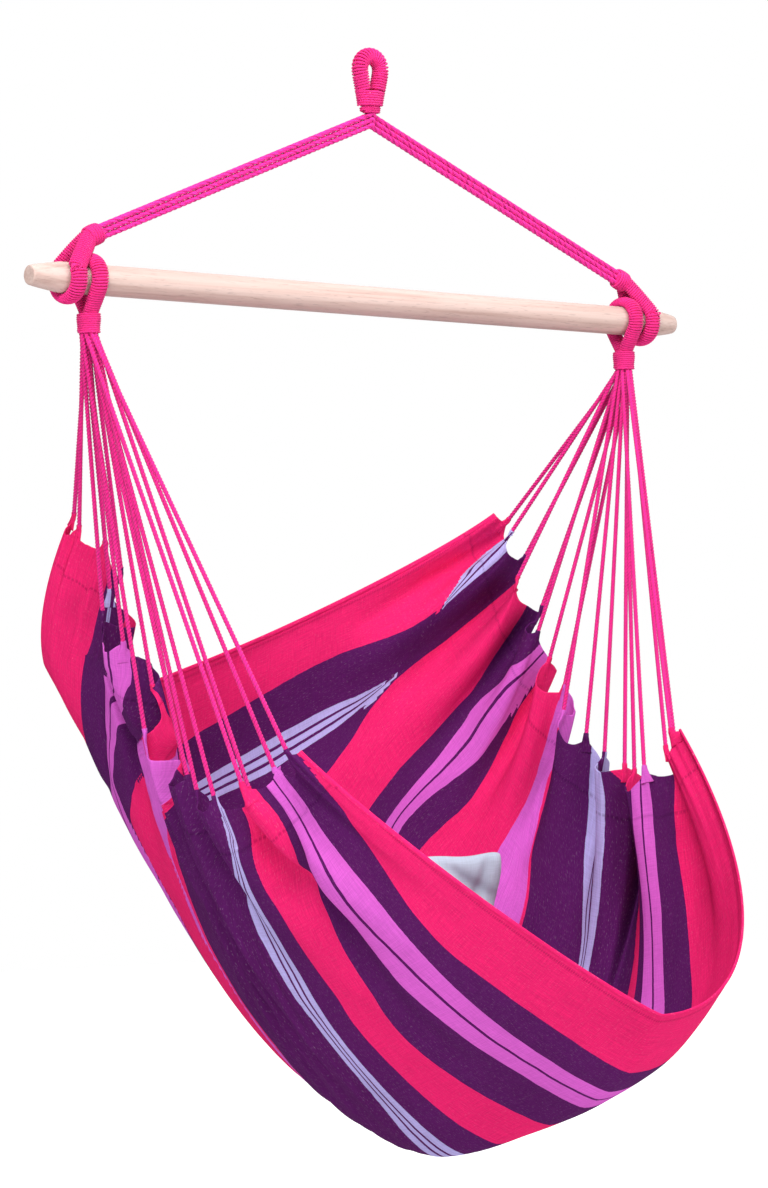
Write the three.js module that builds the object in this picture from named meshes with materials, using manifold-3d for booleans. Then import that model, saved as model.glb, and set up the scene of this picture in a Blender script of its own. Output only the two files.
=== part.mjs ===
// Hanging hammock chair: a wound hanging eye, six leg cords, a wooden spreader bar,
// two fans of seat cords, a gathered cloth seat and a loose pillow.
// Millimetres, +Z up, +X along the bar, -Y towards the sitter's feet.
// The origin is where a hook bears: the top of the opening in the hanging eye.
import * as THREE from "three";
import { mergeVertices } from "three/addons/utils/BufferGeometryUtils.js";
import Module from "manifold-3d";

const wasm = await Module();
wasm.setup();

// Clearances
const seatGap = 0.3;
const windGap = 0.4;

// Hanging eye
const eyeOpeningWidth = 11;
const eyeCoreDiameter = 16;
const eyeWaistDrop = 13;
const eyeFootDrop = 54;
const eyeWaistDrawIn = 0.6;
const eyeNeckBottom = 57;
const eyeNeckWidth = 31.4;
const eyeNeckDepth = 17;
const eyeNeckLength = 12;
const windDiameter = 3;
const windSteps = 10;
const windSides = 5;
const eyeWindTurns = 18;
const eyeArchTurns = 5.5;
const neckWindTurns = 4;
const neckWindLength = 15.2;
const neckWindSquareness = 0.72;

// Whipped throat and cord fork under the eye
const throatLength = 8.6;
const throatWindDiameter = 2.5;
const throatWindTurns = 2;
const forkRadius = 9;

// Spreader bar
const barDrop = 321;
const barLength = 1100;
const barDiameter = 40;
const barTaperLength = 46;
const barEndDiameter = 26;
const barEdgeRound = 3;
const barFit = 0.3;

// Rope rings round the bar
const ringWidth = 22;
const ringThickness = 12;
const legRingInset = 60;
const seatRingInset = 92;
const legRingPlace = barLength / 2 - legRingInset;
const seatRingPlace = barLength / 2 - seatRingInset;

// Legs
const legCordDiameter = 6.8;
const legCordGap = 0.3;
const legCordCount = 3;
const legNeckDiameter = 15;
const legNeckStartRise = 1.5;
const legNeckReach = 48;
const legNeckRise = 35;
const collarDiameter = 22;
const collarLength = 19.4;
const collarWindDiameter = 3.4;
const collarWindTurns = 4;

// Every cord's route has this many runs
const routeRuns = 15;

// Seat necks and cords
const seatNeckDiameter = 26.4;
const seatNeckBottom = 69;
const seatWindDiameter = 2.6;
const seatWindTurns = 9;
const seatWindTopGap = 0.5;
const seatCordDiameter = 4.8;
const seatCordStartGap = 1.4;
const slotPitch = 5.15;
const slotRowPitch = 5.2;
const slotRows = [2, 4, 5, 4, 2];
const cordEndGap = 4;

// Cloth
const clothSide = 370;
const clothReach = 550;
const clothDrop = 1147;
const clothThickness = 4;
const leftEndDrop = 16;
const rightEndRise = 9.6;
const leftEndForward = 12;
const rightFrontDrawIn = 15;
const pleatDepth = 27;
const pleatLeanShare = 0.12;
const pleatRun = 360;
const pleatSelvedge = 0.05;
const pleatLines = 32;

// Each row of the cloth, from the back selvedge to the front one: its place across the
// cloth, its end (out, back, down), its lowest point (side, back, down), how full the
// left and right halves hang, how far they bulge out, and how much the left end rises.
const clothRowShares = [
  [0.000, 0.985, 0.300, 0.240, -0.480, 0.565, 0.455, 2.40, 1.15, 0.05, 0.00, 0.000],
  [0.125, 1.000, 0.236, 0.290, -0.350, 0.600, 0.593, 1.95, 1.20, 0.05, 0.00, 0.018],
  [0.250, 1.000, 0.182, 0.357, -0.240, 0.510, 0.732, 1.60, 1.40, 0.01, 0.00, 0.030],
  [0.375, 0.986, 0.100, 0.427, -0.125, 0.350, 0.859, 1.27, 1.57, 0.00, 0.00, 0.038],
  [0.500, 0.960, 0.000, 0.497, -0.010, 0.110, 0.955, 1.25, 1.70, 0.00, 0.00, 0.004],
  [0.625, 0.973, -0.136, 0.549, 0.125, -0.164, 1.000, 1.30, 1.80, 0.00, 0.00, 0.000],
  [0.750, 0.973, -0.273, 0.567, 0.260, -0.490, 0.950, 1.25, 1.90, 0.00, 0.00, 0.000],
  [0.875, 0.959, -0.400, 0.545, 0.205, -0.764, 0.898, 1.20, 2.00, 0.02, 0.02, 0.000],
  [1.000, 0.900, -0.480, 0.507, 0.085, -1.000, 0.813, 1.15, 2.05, 0.00, 0.03, 0.000],
];
// Pleats of each end: a fold's place across the cloth, how many pleats lie behind it
// (outer folds at whole numbers, inner folds between), and its depth by pleatDepth.
const leftPleatShares = [
  [0.0, -0.3, 0.6], [0.045, 0.0, 0.6], [0.19, 0.5, 1.6], [0.353, 1.0, 0.9], [0.42, 1.5, 1.0],
  [0.505, 2.0, 0.7], [0.552, 2.5, 0.7], [0.595, 3.0, 0.55], [0.637, 3.5, 0.7], [0.705, 4.0, 0.7],
  [0.785, 4.5, 1.1], [0.855, 5.0, 0.7], [0.925, 5.5, 0.8], [1.0, 5.9, 0.6],
];
const rightPleatShares = [
  [0.0, -0.35, 0.8], [0.045, 0.0, 1], [0.105, 0.5, 1], [0.165, 1.0, 1], [0.21, 1.5, 1],
  [0.255, 2.0, 1], [0.305, 2.5, 1], [0.355, 3.0, 1], [0.405, 3.5, 1], [0.46, 4.0, 1],
  [0.52, 4.5, 1], [0.59, 5.0, 0.9], [0.645, 5.5, 1.1], [0.70, 6.0, 1.5], [0.765, 6.5, 1.2],
  [0.86, 7.0, 0.9], [0.935, 7.5, 0.8], [1.0, 7.9, 0.7],
];
// Places along the warp of the cloth's cross lines, close together at the pleated ends
const warpShares = [
  0, 0.045, 0.1, 0.165, 0.235, 0.305, 0.37, 0.43, 0.485, 0.54, 0.6, 0.665, 0.735, 0.81, 0.88,
  0.945, 1,
];

// Pillow
const pillowWidth = 260;
const pillowHeight = 310;
const pillowThickness = 52;
const pillowPlace = [40, -29, 887.8];
const pillowLean = 0.26;
const pillowTurn = -0.3;
const pillowSteps = 12;
const pillowEdgeShare = 0.045;
const pillowDrawnInShare = 0.06;

// Colours
const cordPink = 0xf9307c;
const beech = 0xe0cabc;
const seatRed = 0xe3245f;
const pillowGrey = 0xc9cdd2;

const group = new THREE.Group();
const barZ = -barDrop;
const barRadius = barDiameter / 2;

function material(colour, roughness) {
  return new THREE.MeshStandardMaterial({ color: colour, roughness, metalness: 0 });
}

function addPiece(name, geometry, colour, roughness) {
  const mesh = new THREE.Mesh(geometry, material(colour, roughness));
  mesh.name = name;
  group.add(mesh);
}

// Booleans
function bare(geometry) {
  const copy = geometry.clone();
  copy.deleteAttribute("normal");
  copy.deleteAttribute("uv");
  return mergeVertices(copy);
}

function toSolid(geometry) {
  const clean = bare(geometry);
  const vertProperties = Float32Array.from(clean.attributes.position.array);
  const triVerts = Uint32Array.from(clean.index.array);
  return new wasm.Manifold(new wasm.Mesh({ numProp: 3, vertProperties, triVerts }));
}

function fromSolid(solid) {
  const mesh = solid.getMesh();
  const geometry = new THREE.BufferGeometry();
  geometry.setAttribute("position", new THREE.BufferAttribute(mesh.vertProperties, 3));
  geometry.setIndex(new THREE.BufferAttribute(mesh.triVerts, 1));
  return geometry;
}

function join(geometries) {
  return fromSolid(geometries.map(toSolid).reduce((sum, solid) => sum.add(solid)));
}

// A tube with a round section along a smooth curve through points
function ropeTube(points, diameter, sides, steps) {
  const section = new THREE.Shape();
  for (let side = 0; side < sides; side += 1) {
    const angle = (2 * Math.PI * side) / sides;
    const x = (diameter / 2) * Math.cos(angle);
    const y = (diameter / 2) * Math.sin(angle);
    if (side === 0) section.moveTo(x, y);
    else section.lineTo(x, y);
  }
  section.closePath();
  const extrudePath = new THREE.CatmullRomCurve3(points, false, "centripetal");
  return bare(new THREE.ExtrudeGeometry(section, { steps, extrudePath, bevelEnabled: false }));
}

// An unbroken wound tube through many close points, with flat ends
function woundTube(points, diameter, sides) {
  const positions = [];
  const index = [];
  const tangents = points.map((point, i) => {
    const before = points[Math.max(i - 1, 0)];
    const after = points[Math.min(i + 1, points.length - 1)];
    return after.clone().sub(before).normalize();
  });
  const side0 = new THREE.Vector3(tangents[0].z, tangents[0].x, tangents[0].y);
  let across = side0.clone().sub(tangents[0].clone().multiplyScalar(side0.dot(tangents[0])));
  points.forEach((point, i) => {
    const tangent = tangents[i];
    across = across.clone().sub(tangent.clone().multiplyScalar(across.dot(tangent))).normalize();
    const up = tangent.clone().cross(across);
    for (let side = 0; side < sides; side += 1) {
      const angle = (2 * Math.PI * side) / sides;
      const spoke = across.clone().multiplyScalar(Math.cos(angle) * (diameter / 2));
      spoke.add(up.clone().multiplyScalar(Math.sin(angle) * (diameter / 2)));
      positions.push(...point.clone().add(spoke).toArray());
    }
  });
  for (let i = 0; i + 1 < points.length; i += 1) {
    for (let side = 0; side < sides; side += 1) {
      const next = (side + 1) % sides;
      const a = i * sides + side;
      const b = i * sides + next;
      index.push(a, b, b + sides, a, b + sides, a + sides);
    }
  }
  const last = (points.length - 1) * sides;
  for (let side = 1; side + 1 < sides; side += 1) {
    index.push(0, side + 1, side);
    index.push(last, last + side, last + side + 1);
  }
  const geometry = new THREE.BufferGeometry();
  geometry.setAttribute("position", new THREE.Float32BufferAttribute(positions, 3));
  geometry.setIndex(index);
  return geometry;
}

// The least gap between a wound tube's neighbouring turns, measured on its points
function printLeastGap(name, points, diameter) {
  let least = Infinity;
  for (let i = 0; i < points.length; i += 1) {
    for (let j = i + windSteps / 2; j < points.length; j += 1) {
      least = Math.min(least, points[i].distanceTo(points[j]));
    }
  }
  console.log(`${name}: least gap ${(least - diameter).toFixed(2)} mm`);
}

// How far a turn's corners lie from the rope's middle, so that its flats clear the rope
function turnReach(ropeRadius, diameter) {
  return (ropeRadius + windGap + diameter / 2) / Math.cos(Math.PI / windSteps);
}

// Turns round a straight piece of rope: centre line from one point to another
function windingPoints(from, to, ropeDiameter, diameter, turns) {
  const radius = turnReach(ropeDiameter / 2, diameter);
  const axis = to.clone().sub(from).normalize();
  const front = new THREE.Vector3(0, 1, 0);
  const across = axis.clone().cross(front).normalize();
  const points = [];
  for (let i = 0; i <= turns * windSteps; i += 1) {
    const angle = (2 * Math.PI * i) / windSteps;
    const point = from.clone().lerp(to, i / (turns * windSteps));
    point.add(across.clone().multiplyScalar(Math.cos(angle) * radius));
    point.add(front.clone().multiplyScalar(Math.sin(angle) * radius));
    points.push(point);
  }
  return points;
}

function winding(name, from, to, ropeDiameter, diameter, turns) {
  const points = windingPoints(from, to, ropeDiameter, diameter, turns);
  printLeastGap(name, points, diameter);
  return woundTube(points, diameter, windSides);
}

// Spreader bar, a dowel with tapered ends
function spreaderBar() {
  const half = barLength / 2;
  const endRadius = barEndDiameter / 2;
  const profile = [
    new THREE.Vector2(0, -half),
    new THREE.Vector2(endRadius - barEdgeRound, -half),
    new THREE.Vector2(endRadius, -half + barEdgeRound),
    new THREE.Vector2(barRadius, -half + barTaperLength),
    new THREE.Vector2(barRadius, half - barTaperLength),
    new THREE.Vector2(endRadius, half - barEdgeRound),
    new THREE.Vector2(endRadius - barEdgeRound, half),
    new THREE.Vector2(0, half),
  ];
  const bar = new THREE.LatheGeometry(profile, 28);
  bar.rotateZ(-Math.PI / 2);
  bar.translate(0, 0, barZ);
  return bare(bar);
}

// A flattened rope ring round the bar
const ringRadius = barRadius + barFit + ringThickness / 2;
function ropeRing(place) {
  const profile = [];
  for (let i = 0; i <= 10; i += 1) {
    const angle = (2 * Math.PI * (i % 10)) / 10;
    const out = ringRadius + (ringThickness / 2) * Math.cos(angle);
    profile.push(new THREE.Vector2(out, (ringWidth / 2) * Math.sin(angle)));
  }
  const ring = new THREE.LatheGeometry(profile, 24);
  ring.rotateZ(-Math.PI / 2);
  ring.translate(place, 0, barZ);
  return ring;
}

function upright(diameter, topZ, bottomZ, x, sides) {
  const rod = new THREE.CylinderGeometry(diameter / 2, diameter / 2, topZ - bottomZ, sides);
  rod.rotateX(Math.PI / 2);
  rod.translate(x, 0, (topZ + bottomZ) / 2);
  return rod;
}

// Hanging eye: the cord bundle bent into an eye, over a flat-ended neck
const eyeCoreRadius = eyeCoreDiameter / 2;
const eyeTurnReach = turnReach(eyeCoreRadius, windDiameter);
const archRadius = eyeOpeningWidth / 2 + eyeTurnReach + windDiameter / 2;
const archZ = -eyeOpeningWidth / 2;
const footOut = eyeNeckWidth / 2 - eyeCoreRadius;
const waistOut = archRadius - eyeWaistDrawIn;

// How far out each side of the eye runs below its waist
function sideOut(z) {
  const share = Math.min((-z - eyeWaistDrop) / (eyeFootDrop - eyeWaistDrop), 1);
  return waistOut + (footOut - waistOut) * share;
}

function eyePath() {
  const points = [];
  const footZ = -eyeNeckBottom + eyeCoreRadius / 2;
  const side = (sign) => {
    const run = [];
    for (let i = 0; i <= 4; i += 1) {
      const z = footZ + ((-eyeWaistDrop - footZ) * i) / 4;
      run.push(new THREE.Vector3(sign * sideOut(z), 0, z));
    }
    return run;
  };
  points.push(...side(-1));
  for (let i = 0; i <= 12; i += 1) {
    const angle = Math.PI * (1 - i / 12);
    const x = archRadius * Math.cos(angle);
    points.push(new THREE.Vector3(x, 0, archZ + archRadius * Math.sin(angle)));
  }
  points.push(...side(1).reverse());
  return points;
}

// The flat-ended neck, where the two sides of the eye are bound together
function neckBlock(topZ, bottomZ) {
  const neck = new THREE.CylinderGeometry(1, 1, topZ - bottomZ, 20);
  neck.rotateX(Math.PI / 2);
  neck.scale(eyeNeckWidth / 2, eyeNeckDepth / 2, 1);
  neck.translate(0, 0, (topZ + bottomZ) / 2);
  return neck;
}

function hangingEye() {
  const loop = ropeTube(eyePath(), eyeCoreDiameter, 10, 34);
  return join([loop, neckBlock(-eyeNeckBottom + eyeNeckLength, -eyeNeckBottom)]);
}

// The eye's winding: turns round the bent bundle, wider apart over the arch
function eyeWinding() {
  const path = new THREE.CatmullRomCurve3(eyePath(), false, "centripetal");
  const length = path.getLength();
  const startZ = -eyeNeckBottom + neckWindLength + 2 * windDiameter + windGap;
  const shareStep = 1 / 400;
  let start = 0;
  while (start < 0.4 && path.getPointAt(start).z < startZ) start += shareStep;
  const archShare = (Math.PI * archRadius) / length;
  const sideShare = (1 - archShare) / 2 - start;
  const sideTurns = (eyeWindTurns - eyeArchTurns) / 2;
  const points = [];
  for (let i = 0; i <= eyeWindTurns * windSteps; i += 1) {
    const turn = i / windSteps;
    const overArch = Math.min(Math.max(turn - sideTurns, 0), eyeArchTurns);
    const onSides = turn - overArch;
    const share = start + (sideShare * onSides) / sideTurns + (archShare * overArch) / eyeArchTurns;
    const angle = 2 * Math.PI * turn;
    const front = new THREE.Vector3(0, 1, 0);
    const across = path.getTangentAt(share).cross(front).normalize();
    const point = path.getPointAt(share);
    point.add(across.multiplyScalar(Math.cos(angle) * eyeTurnReach));
    point.add(front.multiplyScalar(Math.sin(angle) * eyeTurnReach));
    points.push(point);
  }
  printLeastGap("eye_winding", points, windDiameter);
  return woundTube(points, windDiameter, windSides);
}

// Turns round the neck, as wide as the neck is at each height
function neckTurns(name, topZ, bottomZ, diameter, turns) {
  const points = [];
  const square = (value) => Math.sign(value) * Math.abs(value) ** neckWindSquareness;
  for (let i = 0; i <= turns * windSteps; i += 1) {
    const turn = i / windSteps;
    const z = topZ + ((bottomZ - topZ) * turn) / turns;
    const wide = turnReach(sideOut(Math.max(z, -eyeNeckBottom)) + eyeCoreRadius, diameter);
    const deep = turnReach(eyeNeckDepth / 2, diameter);
    const x = wide * square(Math.cos(2 * Math.PI * turn));
    const y = deep * square(Math.sin(2 * Math.PI * turn));
    points.push(new THREE.Vector3(x, y, z));
  }
  printLeastGap(name, points, diameter);
  return woundTube(points, diameter, windSides);
}

function neckWinding() {
  const bottom = -eyeNeckBottom + windDiameter / 2;
  return neckTurns("eye_neck_winding", bottom + neckWindLength, bottom, windDiameter, neckWindTurns);
}

// Throat under the eye, which twists, and the fork where the two legs part
const throatTopZ = -eyeNeckBottom - seatGap;
const throatBottomZ = throatTopZ - throatLength;
const forkZ = throatBottomZ - seatGap - forkRadius;

function throatWinding() {
  const top = throatTopZ - throatWindDiameter / 2;
  const bottom = throatBottomZ + throatWindDiameter / 2;
  return neckTurns("throat_winding", top, bottom, throatWindDiameter, throatWindTurns);
}

// Legs: three cords side by side, a neck with a wound collar and a ring round the bar
const collarX = legRingPlace - legNeckReach;
const collarZ = barZ + ringRadius + legNeckRise;

function legDirection(side) {
  return new THREE.Vector3(side * collarX, 0, collarZ - forkZ).normalize();
}

function legCordRoute(side, order) {
  const along = legDirection(side);
  const over = new THREE.Vector3(-side * along.z, 0, side * along.x);
  const offset = (order - (legCordCount - 1) / 2) * (legCordDiameter + legCordGap);
  const start = new THREE.Vector3(0, 0, forkZ).add(along.clone().multiplyScalar(forkRadius + seatGap));
  const end = new THREE.Vector3(side * collarX, 0, collarZ).sub(along.clone().multiplyScalar(seatGap));
  const points = [];
  for (let i = 0; i <= routeRuns; i += 1) {
    points.push(start.clone().lerp(end, i / routeRuns).add(over.clone().multiplyScalar(offset)));
  }
  return points;
}

function legLoop(side) {
  const top = new THREE.Vector3(side * legRingPlace, 0, barZ + ringRadius + legNeckStartRise);
  const end = new THREE.Vector3(side * collarX, 0, collarZ);
  const collarStart = end.clone().add(legDirection(side).multiplyScalar(collarLength));
  const neck = ropeTube([top, collarStart.clone(), end.clone()], legNeckDiameter, 12, 5);
  const collar = ropeTube([collarStart, end], collarDiameter, 12, 1);
  return join([ropeRing(side * legRingPlace), neck, collar]);
}

function collarWinding(side, sideName) {
  const along = legDirection(side);
  const inset = collarWindDiameter / 2;
  const end = new THREE.Vector3(side * collarX, 0, collarZ);
  const from = end.clone().add(along.clone().multiplyScalar(collarLength - inset));
  const to = end.clone().add(along.clone().multiplyScalar(inset));
  const name = `${sideName}_collar_winding`;
  return winding(name, from, to, collarDiameter, collarWindDiameter, collarWindTurns);
}

// Seat loops: a ring on the bar over a neck that holds the seat cords
const seatNeckZ = barZ - seatNeckBottom;
function seatLoop(side) {
  const topZ = barZ - ringRadius;
  const neck = upright(seatNeckDiameter, topZ, seatNeckZ, side * seatRingPlace, 18);
  return join([ropeRing(side * seatRingPlace), neck]);
}

function seatWinding(side, sideName) {
  const inset = seatWindDiameter / 2;
  const topZ = barZ - ringRadius - ringThickness / 2 - seatWindTopGap - inset;
  const from = new THREE.Vector3(side * seatRingPlace, 0, topZ);
  const to = new THREE.Vector3(side * seatRingPlace, 0, seatNeckZ + inset);
  const name = `${sideName}_seat_winding`;
  return winding(name, from, to, seatNeckDiameter, seatWindDiameter, seatWindTurns);
}

// Smooth values through hand-set rows
function smoothRow(rows, place) {
  let i = 0;
  while (i + 2 < rows.length && place >= rows[i + 1][0]) i += 1;
  const span = rows[i + 1][0] - rows[i][0];
  const t = (place - rows[i][0]) / span;
  const slope = (k, column) => {
    const low = rows[Math.max(k - 1, 0)];
    const high = rows[Math.min(k + 1, rows.length - 1)];
    return (high[column] - low[column]) / (high[0] - low[0]);
  };
  return rows[i].map((value, column) => {
    const t2 = t * t;
    const t3 = t2 * t;
    const start = (2 * t3 - 3 * t2 + 1) * value + (t3 - 2 * t2 + t) * span * slope(i, column);
    const end = (3 * t2 - 2 * t3) * rows[i + 1][column] + (t3 - t2) * span * slope(i + 1, column);
    return start + end;
  });
}

// One warp line of the cloth, from its left end to its right end, with its arc lengths
function warpLine(place) {
  const row = smoothRow(clothRowShares, place);
  const [, endOut, endBack, endDown, midSide, midBack, midDown] = row;
  const [fullLeft, fullRight, outLeft, outRight, leftRise] = row.slice(7);
  const points = [];
  const lengths = [0];
  const half = 60;
  for (let k = -half; k <= half; k += 1) {
    const side = k < 0 ? -1 : 1;
    const angle = (Math.abs(k) / half) * (Math.PI / 2);
    const full = side < 0 ? fullLeft : fullRight;
    const bulge = (side < 0 ? outLeft : outRight) * clothSide;
    const out = Math.sin(angle) ** (2 / full);
    const deep = Math.max(Math.cos(angle), 0) ** (2 / full);
    const endY = endBack * clothReach - (side < 0 ? leftEndForward * place : 0);
    const ownRise = side < 0 ? leftRise * clothDrop - leftEndDrop : rightEndRise;
    const endZ = -endDown * clothDrop + ownRise;
    const midX = midSide * clothSide;
    const endX = side * endOut * clothSide - (side > 0 ? rightFrontDrawIn * place ** 3 : 0);
    const x = midX + out * (endX - midX) + side * bulge * Math.sin(2 * angle);
    const y = endY + deep * (midBack * clothReach - endY);
    const z = endZ + deep * (-midDown * clothDrop - endZ);
    points.push(new THREE.Vector3(x, y, barZ + z));
    const count = points.length;
    if (count > 1) lengths.push(lengths[count - 2] + points[count - 1].distanceTo(points[count - 2]));
  }
  return { points, lengths, total: lengths[lengths.length - 1] };
}

function alongLine(line, share) {
  const want = Math.min(Math.max(share, 0), 1) * line.total;
  let k = 1;
  while (k + 1 < line.lengths.length && line.lengths[k] < want) k += 1;
  const t = (want - line.lengths[k - 1]) / (line.lengths[k] - line.lengths[k - 1]);
  return line.points[k - 1].clone().lerp(line.points[k], t);
}

// A point of the cloth's middle layer and the outward normal there, pleats included
const nudgeShare = 0.004;
const lineCache = new Map();
function cachedLine(place) {
  if (!lineCache.has(place)) lineCache.set(place, warpLine(place));
  return lineCache.get(place);
}

function smoothPoint(across, along) {
  return alongLine(cachedLine(across), along);
}

function smoothNormal(across, along) {
  const a0 = Math.max(across - nudgeShare, 0);
  const a1 = Math.min(across + nudgeShare, 1);
  const l0 = Math.max(along - nudgeShare, 0);
  const l1 = Math.min(along + nudgeShare, 1);
  const warp = smoothPoint(across, l1).sub(smoothPoint(across, l0));
  const weft = smoothPoint(a1, along).sub(smoothPoint(a0, along));
  return { normal: warp.cross(weft).normalize(), weft: weft.normalize() };
}

function clothPoint(across, along) {
  const line = cachedLine(across);
  const point = alongLine(line, along);
  const { normal, weft } = smoothNormal(across, along);
  const run = Math.min(along, 1 - along) * line.total;
  const left = Math.max(1 - run / pleatRun, 0);
  const inward = Math.min(across / pleatSelvedge, (1 - across) / pleatSelvedge, 1);
  const fade = left * left * (3 - 2 * left) * inward;
  const [, place, share] = smoothRow(along < 1 / 2 ? leftPleatShares : rightPleatShares, across);
  const phase = 2 * Math.PI * place;
  const depth = pleatDepth * share * fade;
  point.add(normal.multiplyScalar(depth * Math.cos(phase)));
  point.add(weft.multiplyScalar(depth * pleatLeanShare * Math.sin(2 * phase)));
  return point;
}

// The places across one end where the cloth's mesh has a line: evenly through its pleats
function pleatPlaces(table) {
  const places = [0];
  const last = table[table.length - 1][1];
  for (let k = 0; k < pleatLines; k += 1) {
    let low = 0;
    let high = 1;
    for (let i = 0; i < 40; i += 1) {
      const middle = (low + high) / 2;
      if (smoothRow(table, middle)[1] < (last * k) / pleatLines) low = middle;
      else high = middle;
    }
    places.push((low + high) / 2);
  }
  places.push(1);
  return places;
}
const leftPlaces = pleatPlaces(leftPleatShares);
const rightPlaces = pleatPlaces(rightPleatShares);

// A point on the cloth's straight-sided end edge, where a cord is tied
function edgePoint(across, end) {
  const places = end < 1 ? leftPlaces : rightPlaces;
  let j = 1;
  while (places[j] < across) j += 1;
  const t = (across - places[j - 1]) / (places[j] - places[j - 1]);
  return clothPoint(places[j - 1], end).lerp(clothPoint(places[j], end), t);
}

// The cloth as one closed skin: an upper and a lower layer joined all round
function seatCloth() {
  const rows = leftPlaces.length - 1;
  const columns = warpShares.length - 1;
  const middle = leftPlaces.map((left, j) =>
    warpShares.map((share) => clothPoint(left + (rightPlaces[j] - left) * share, share)),
  );
  const normalAt = (j, i) => {
    const warp = middle[j][Math.min(i + 1, columns)].clone().sub(middle[j][Math.max(i - 1, 0)]);
    const weft = middle[Math.min(j + 1, rows)][i].clone().sub(middle[Math.max(j - 1, 0)][i]);
    return warp.cross(weft).normalize();
  };
  const positions = [];
  for (const layer of [1, -1]) {
    for (let j = 0; j <= rows; j += 1) {
      for (let i = 0; i <= columns; i += 1) {
        const lift = normalAt(j, i).multiplyScalar((layer * clothThickness) / 2);
        positions.push(...middle[j][i].clone().add(lift).toArray());
      }
    }
  }
  const width = columns + 1;
  const layerSize = width * (rows + 1);
  const upper = (j, i) => j * width + i;
  const lower = (j, i) => layerSize + j * width + i;
  const index = [];
  const quad = (a, b, c, d) => index.push(a, b, c, a, c, d);
  for (let j = 0; j < rows; j += 1) {
    for (let i = 0; i < columns; i += 1) {
      quad(upper(j, i), upper(j, i + 1), upper(j + 1, i + 1), upper(j + 1, i));
      quad(lower(j, i), lower(j + 1, i), lower(j + 1, i + 1), lower(j, i + 1));
    }
    quad(upper(j, 0), upper(j + 1, 0), lower(j + 1, 0), lower(j, 0));
    quad(upper(j, columns), lower(j, columns), lower(j + 1, columns), upper(j + 1, columns));
  }
  for (let i = 0; i < columns; i += 1) {
    quad(upper(0, i), lower(0, i), lower(0, i + 1), upper(0, i + 1));
    quad(upper(rows, i), upper(rows, i + 1), lower(rows, i + 1), lower(rows, i));
  }
  const geometry = new THREE.BufferGeometry();
  geometry.setAttribute("position", new THREE.Float32BufferAttribute(positions, 3));
  geometry.setIndex(index);
  return geometry;
}

// Seat cords: packed in rows in the neck, one after another along the cloth's end
const seatCordCount = slotRows.reduce((sum, count) => sum + count, 0);

function cordEdge(side, order) {
  return edgePoint((order + 0.5) / seatCordCount, side < 0 ? 0 : 1);
}

// In each row the cord tied furthest out has the outermost slot, so none cross
function cordSlots(side) {
  const slots = [];
  let first = 0;
  slotRows.forEach((count, row) => {
    const y = ((slotRows.length - 1) / 2 - row) * slotRowPitch;
    const orders = Array.from({ length: count }, (_, i) => first + i);
    orders.sort((a, b) => Math.abs(cordEdge(side, a).x) - Math.abs(cordEdge(side, b).x));
    orders.forEach((order, i) => {
      const x = side * (seatRingPlace + (i - (count - 1) / 2) * slotPitch);
      slots[order] = new THREE.Vector3(x, y, seatNeckZ - seatCordStartGap);
    });
    first += count;
  });
  return slots;
}

function seatCordRoute(side, order) {
  const start = cordSlots(side)[order];
  const edge = cordEdge(side, order);
  const end = start.clone().lerp(edge, 1 - cordEndGap / edge.distanceTo(start));
  const points = [];
  for (let i = 0; i <= routeRuns; i += 1) points.push(start.clone().lerp(end, i / routeRuns));
  return points;
}

// Pillow: crowned, with drawn-in sides and pointed corners
function pillow() {
  const n = pillowSteps;
  const edge = pillowThickness * pillowEdgeShare;
  const positions = [];
  const place = (i, j, layer) => {
    const u = (2 * i) / n - 1;
    const v = (2 * j) / n - 1;
    const drawnX = 1 - pillowDrawnInShare * (1 - v * v);
    const drawnY = 1 - pillowDrawnInShare * (1 - u * u);
    const crown = Math.sqrt(Math.max(1 - u ** 4, 0) * Math.max(1 - v ** 4, 0));
    const lift = edge + (pillowThickness / 2 - edge) * crown;
    return [(u * pillowWidth * drawnX) / 2, layer * lift, (v * pillowHeight * drawnY) / 2];
  };
  for (const layer of [-1, 1]) {
    for (let j = 0; j <= n; j += 1) {
      for (let i = 0; i <= n; i += 1) positions.push(...place(i, j, layer));
    }
  }
  const width = n + 1;
  const size = width * width;
  const index = [];
  const quad = (a, b, c, d) => index.push(a, b, c, a, c, d);
  for (let j = 0; j < n; j += 1) {
    for (let i = 0; i < n; i += 1) {
      const a = j * width + i;
      quad(a, a + 1, a + width + 1, a + width);
      quad(size + a, size + a + width, size + a + width + 1, size + a + 1);
    }
    const left = j * width;
    const right = left + n;
    quad(left, left + width, size + left + width, size + left);
    quad(right, size + right, size + right + width, right + width);
    const top = n * width + j;
    quad(j, size + j, size + j + 1, j + 1);
    quad(top, top + 1, size + top + 1, size + top);
  }
  const geometry = new THREE.BufferGeometry();
  geometry.setAttribute("position", new THREE.Float32BufferAttribute(positions, 3));
  geometry.setIndex(index);
  geometry.rotateX(pillowLean);
  geometry.rotateZ(pillowTurn);
  geometry.translate(pillowPlace[0], pillowPlace[1], barZ - pillowPlace[2]);
  return geometry;
}

// Assembly
addPiece("hanging_eye_bundle", hangingEye(), cordPink, 0.85);
addPiece("eye_winding", eyeWinding(), cordPink, 0.85);
addPiece("eye_neck_winding", neckWinding(), cordPink, 0.85);
addPiece("throat_bundle", bare(neckBlock(throatTopZ, throatBottomZ)), cordPink, 0.85);
addPiece("throat_winding", throatWinding(), cordPink, 0.85);
const fork = new THREE.SphereGeometry(forkRadius, 16, 10);
fork.translate(0, 0, forkZ);
addPiece("leg_cord_fork", bare(fork), cordPink, 0.85);
addPiece("spreader_bar", spreaderBar(), beech, 0.6);

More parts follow.
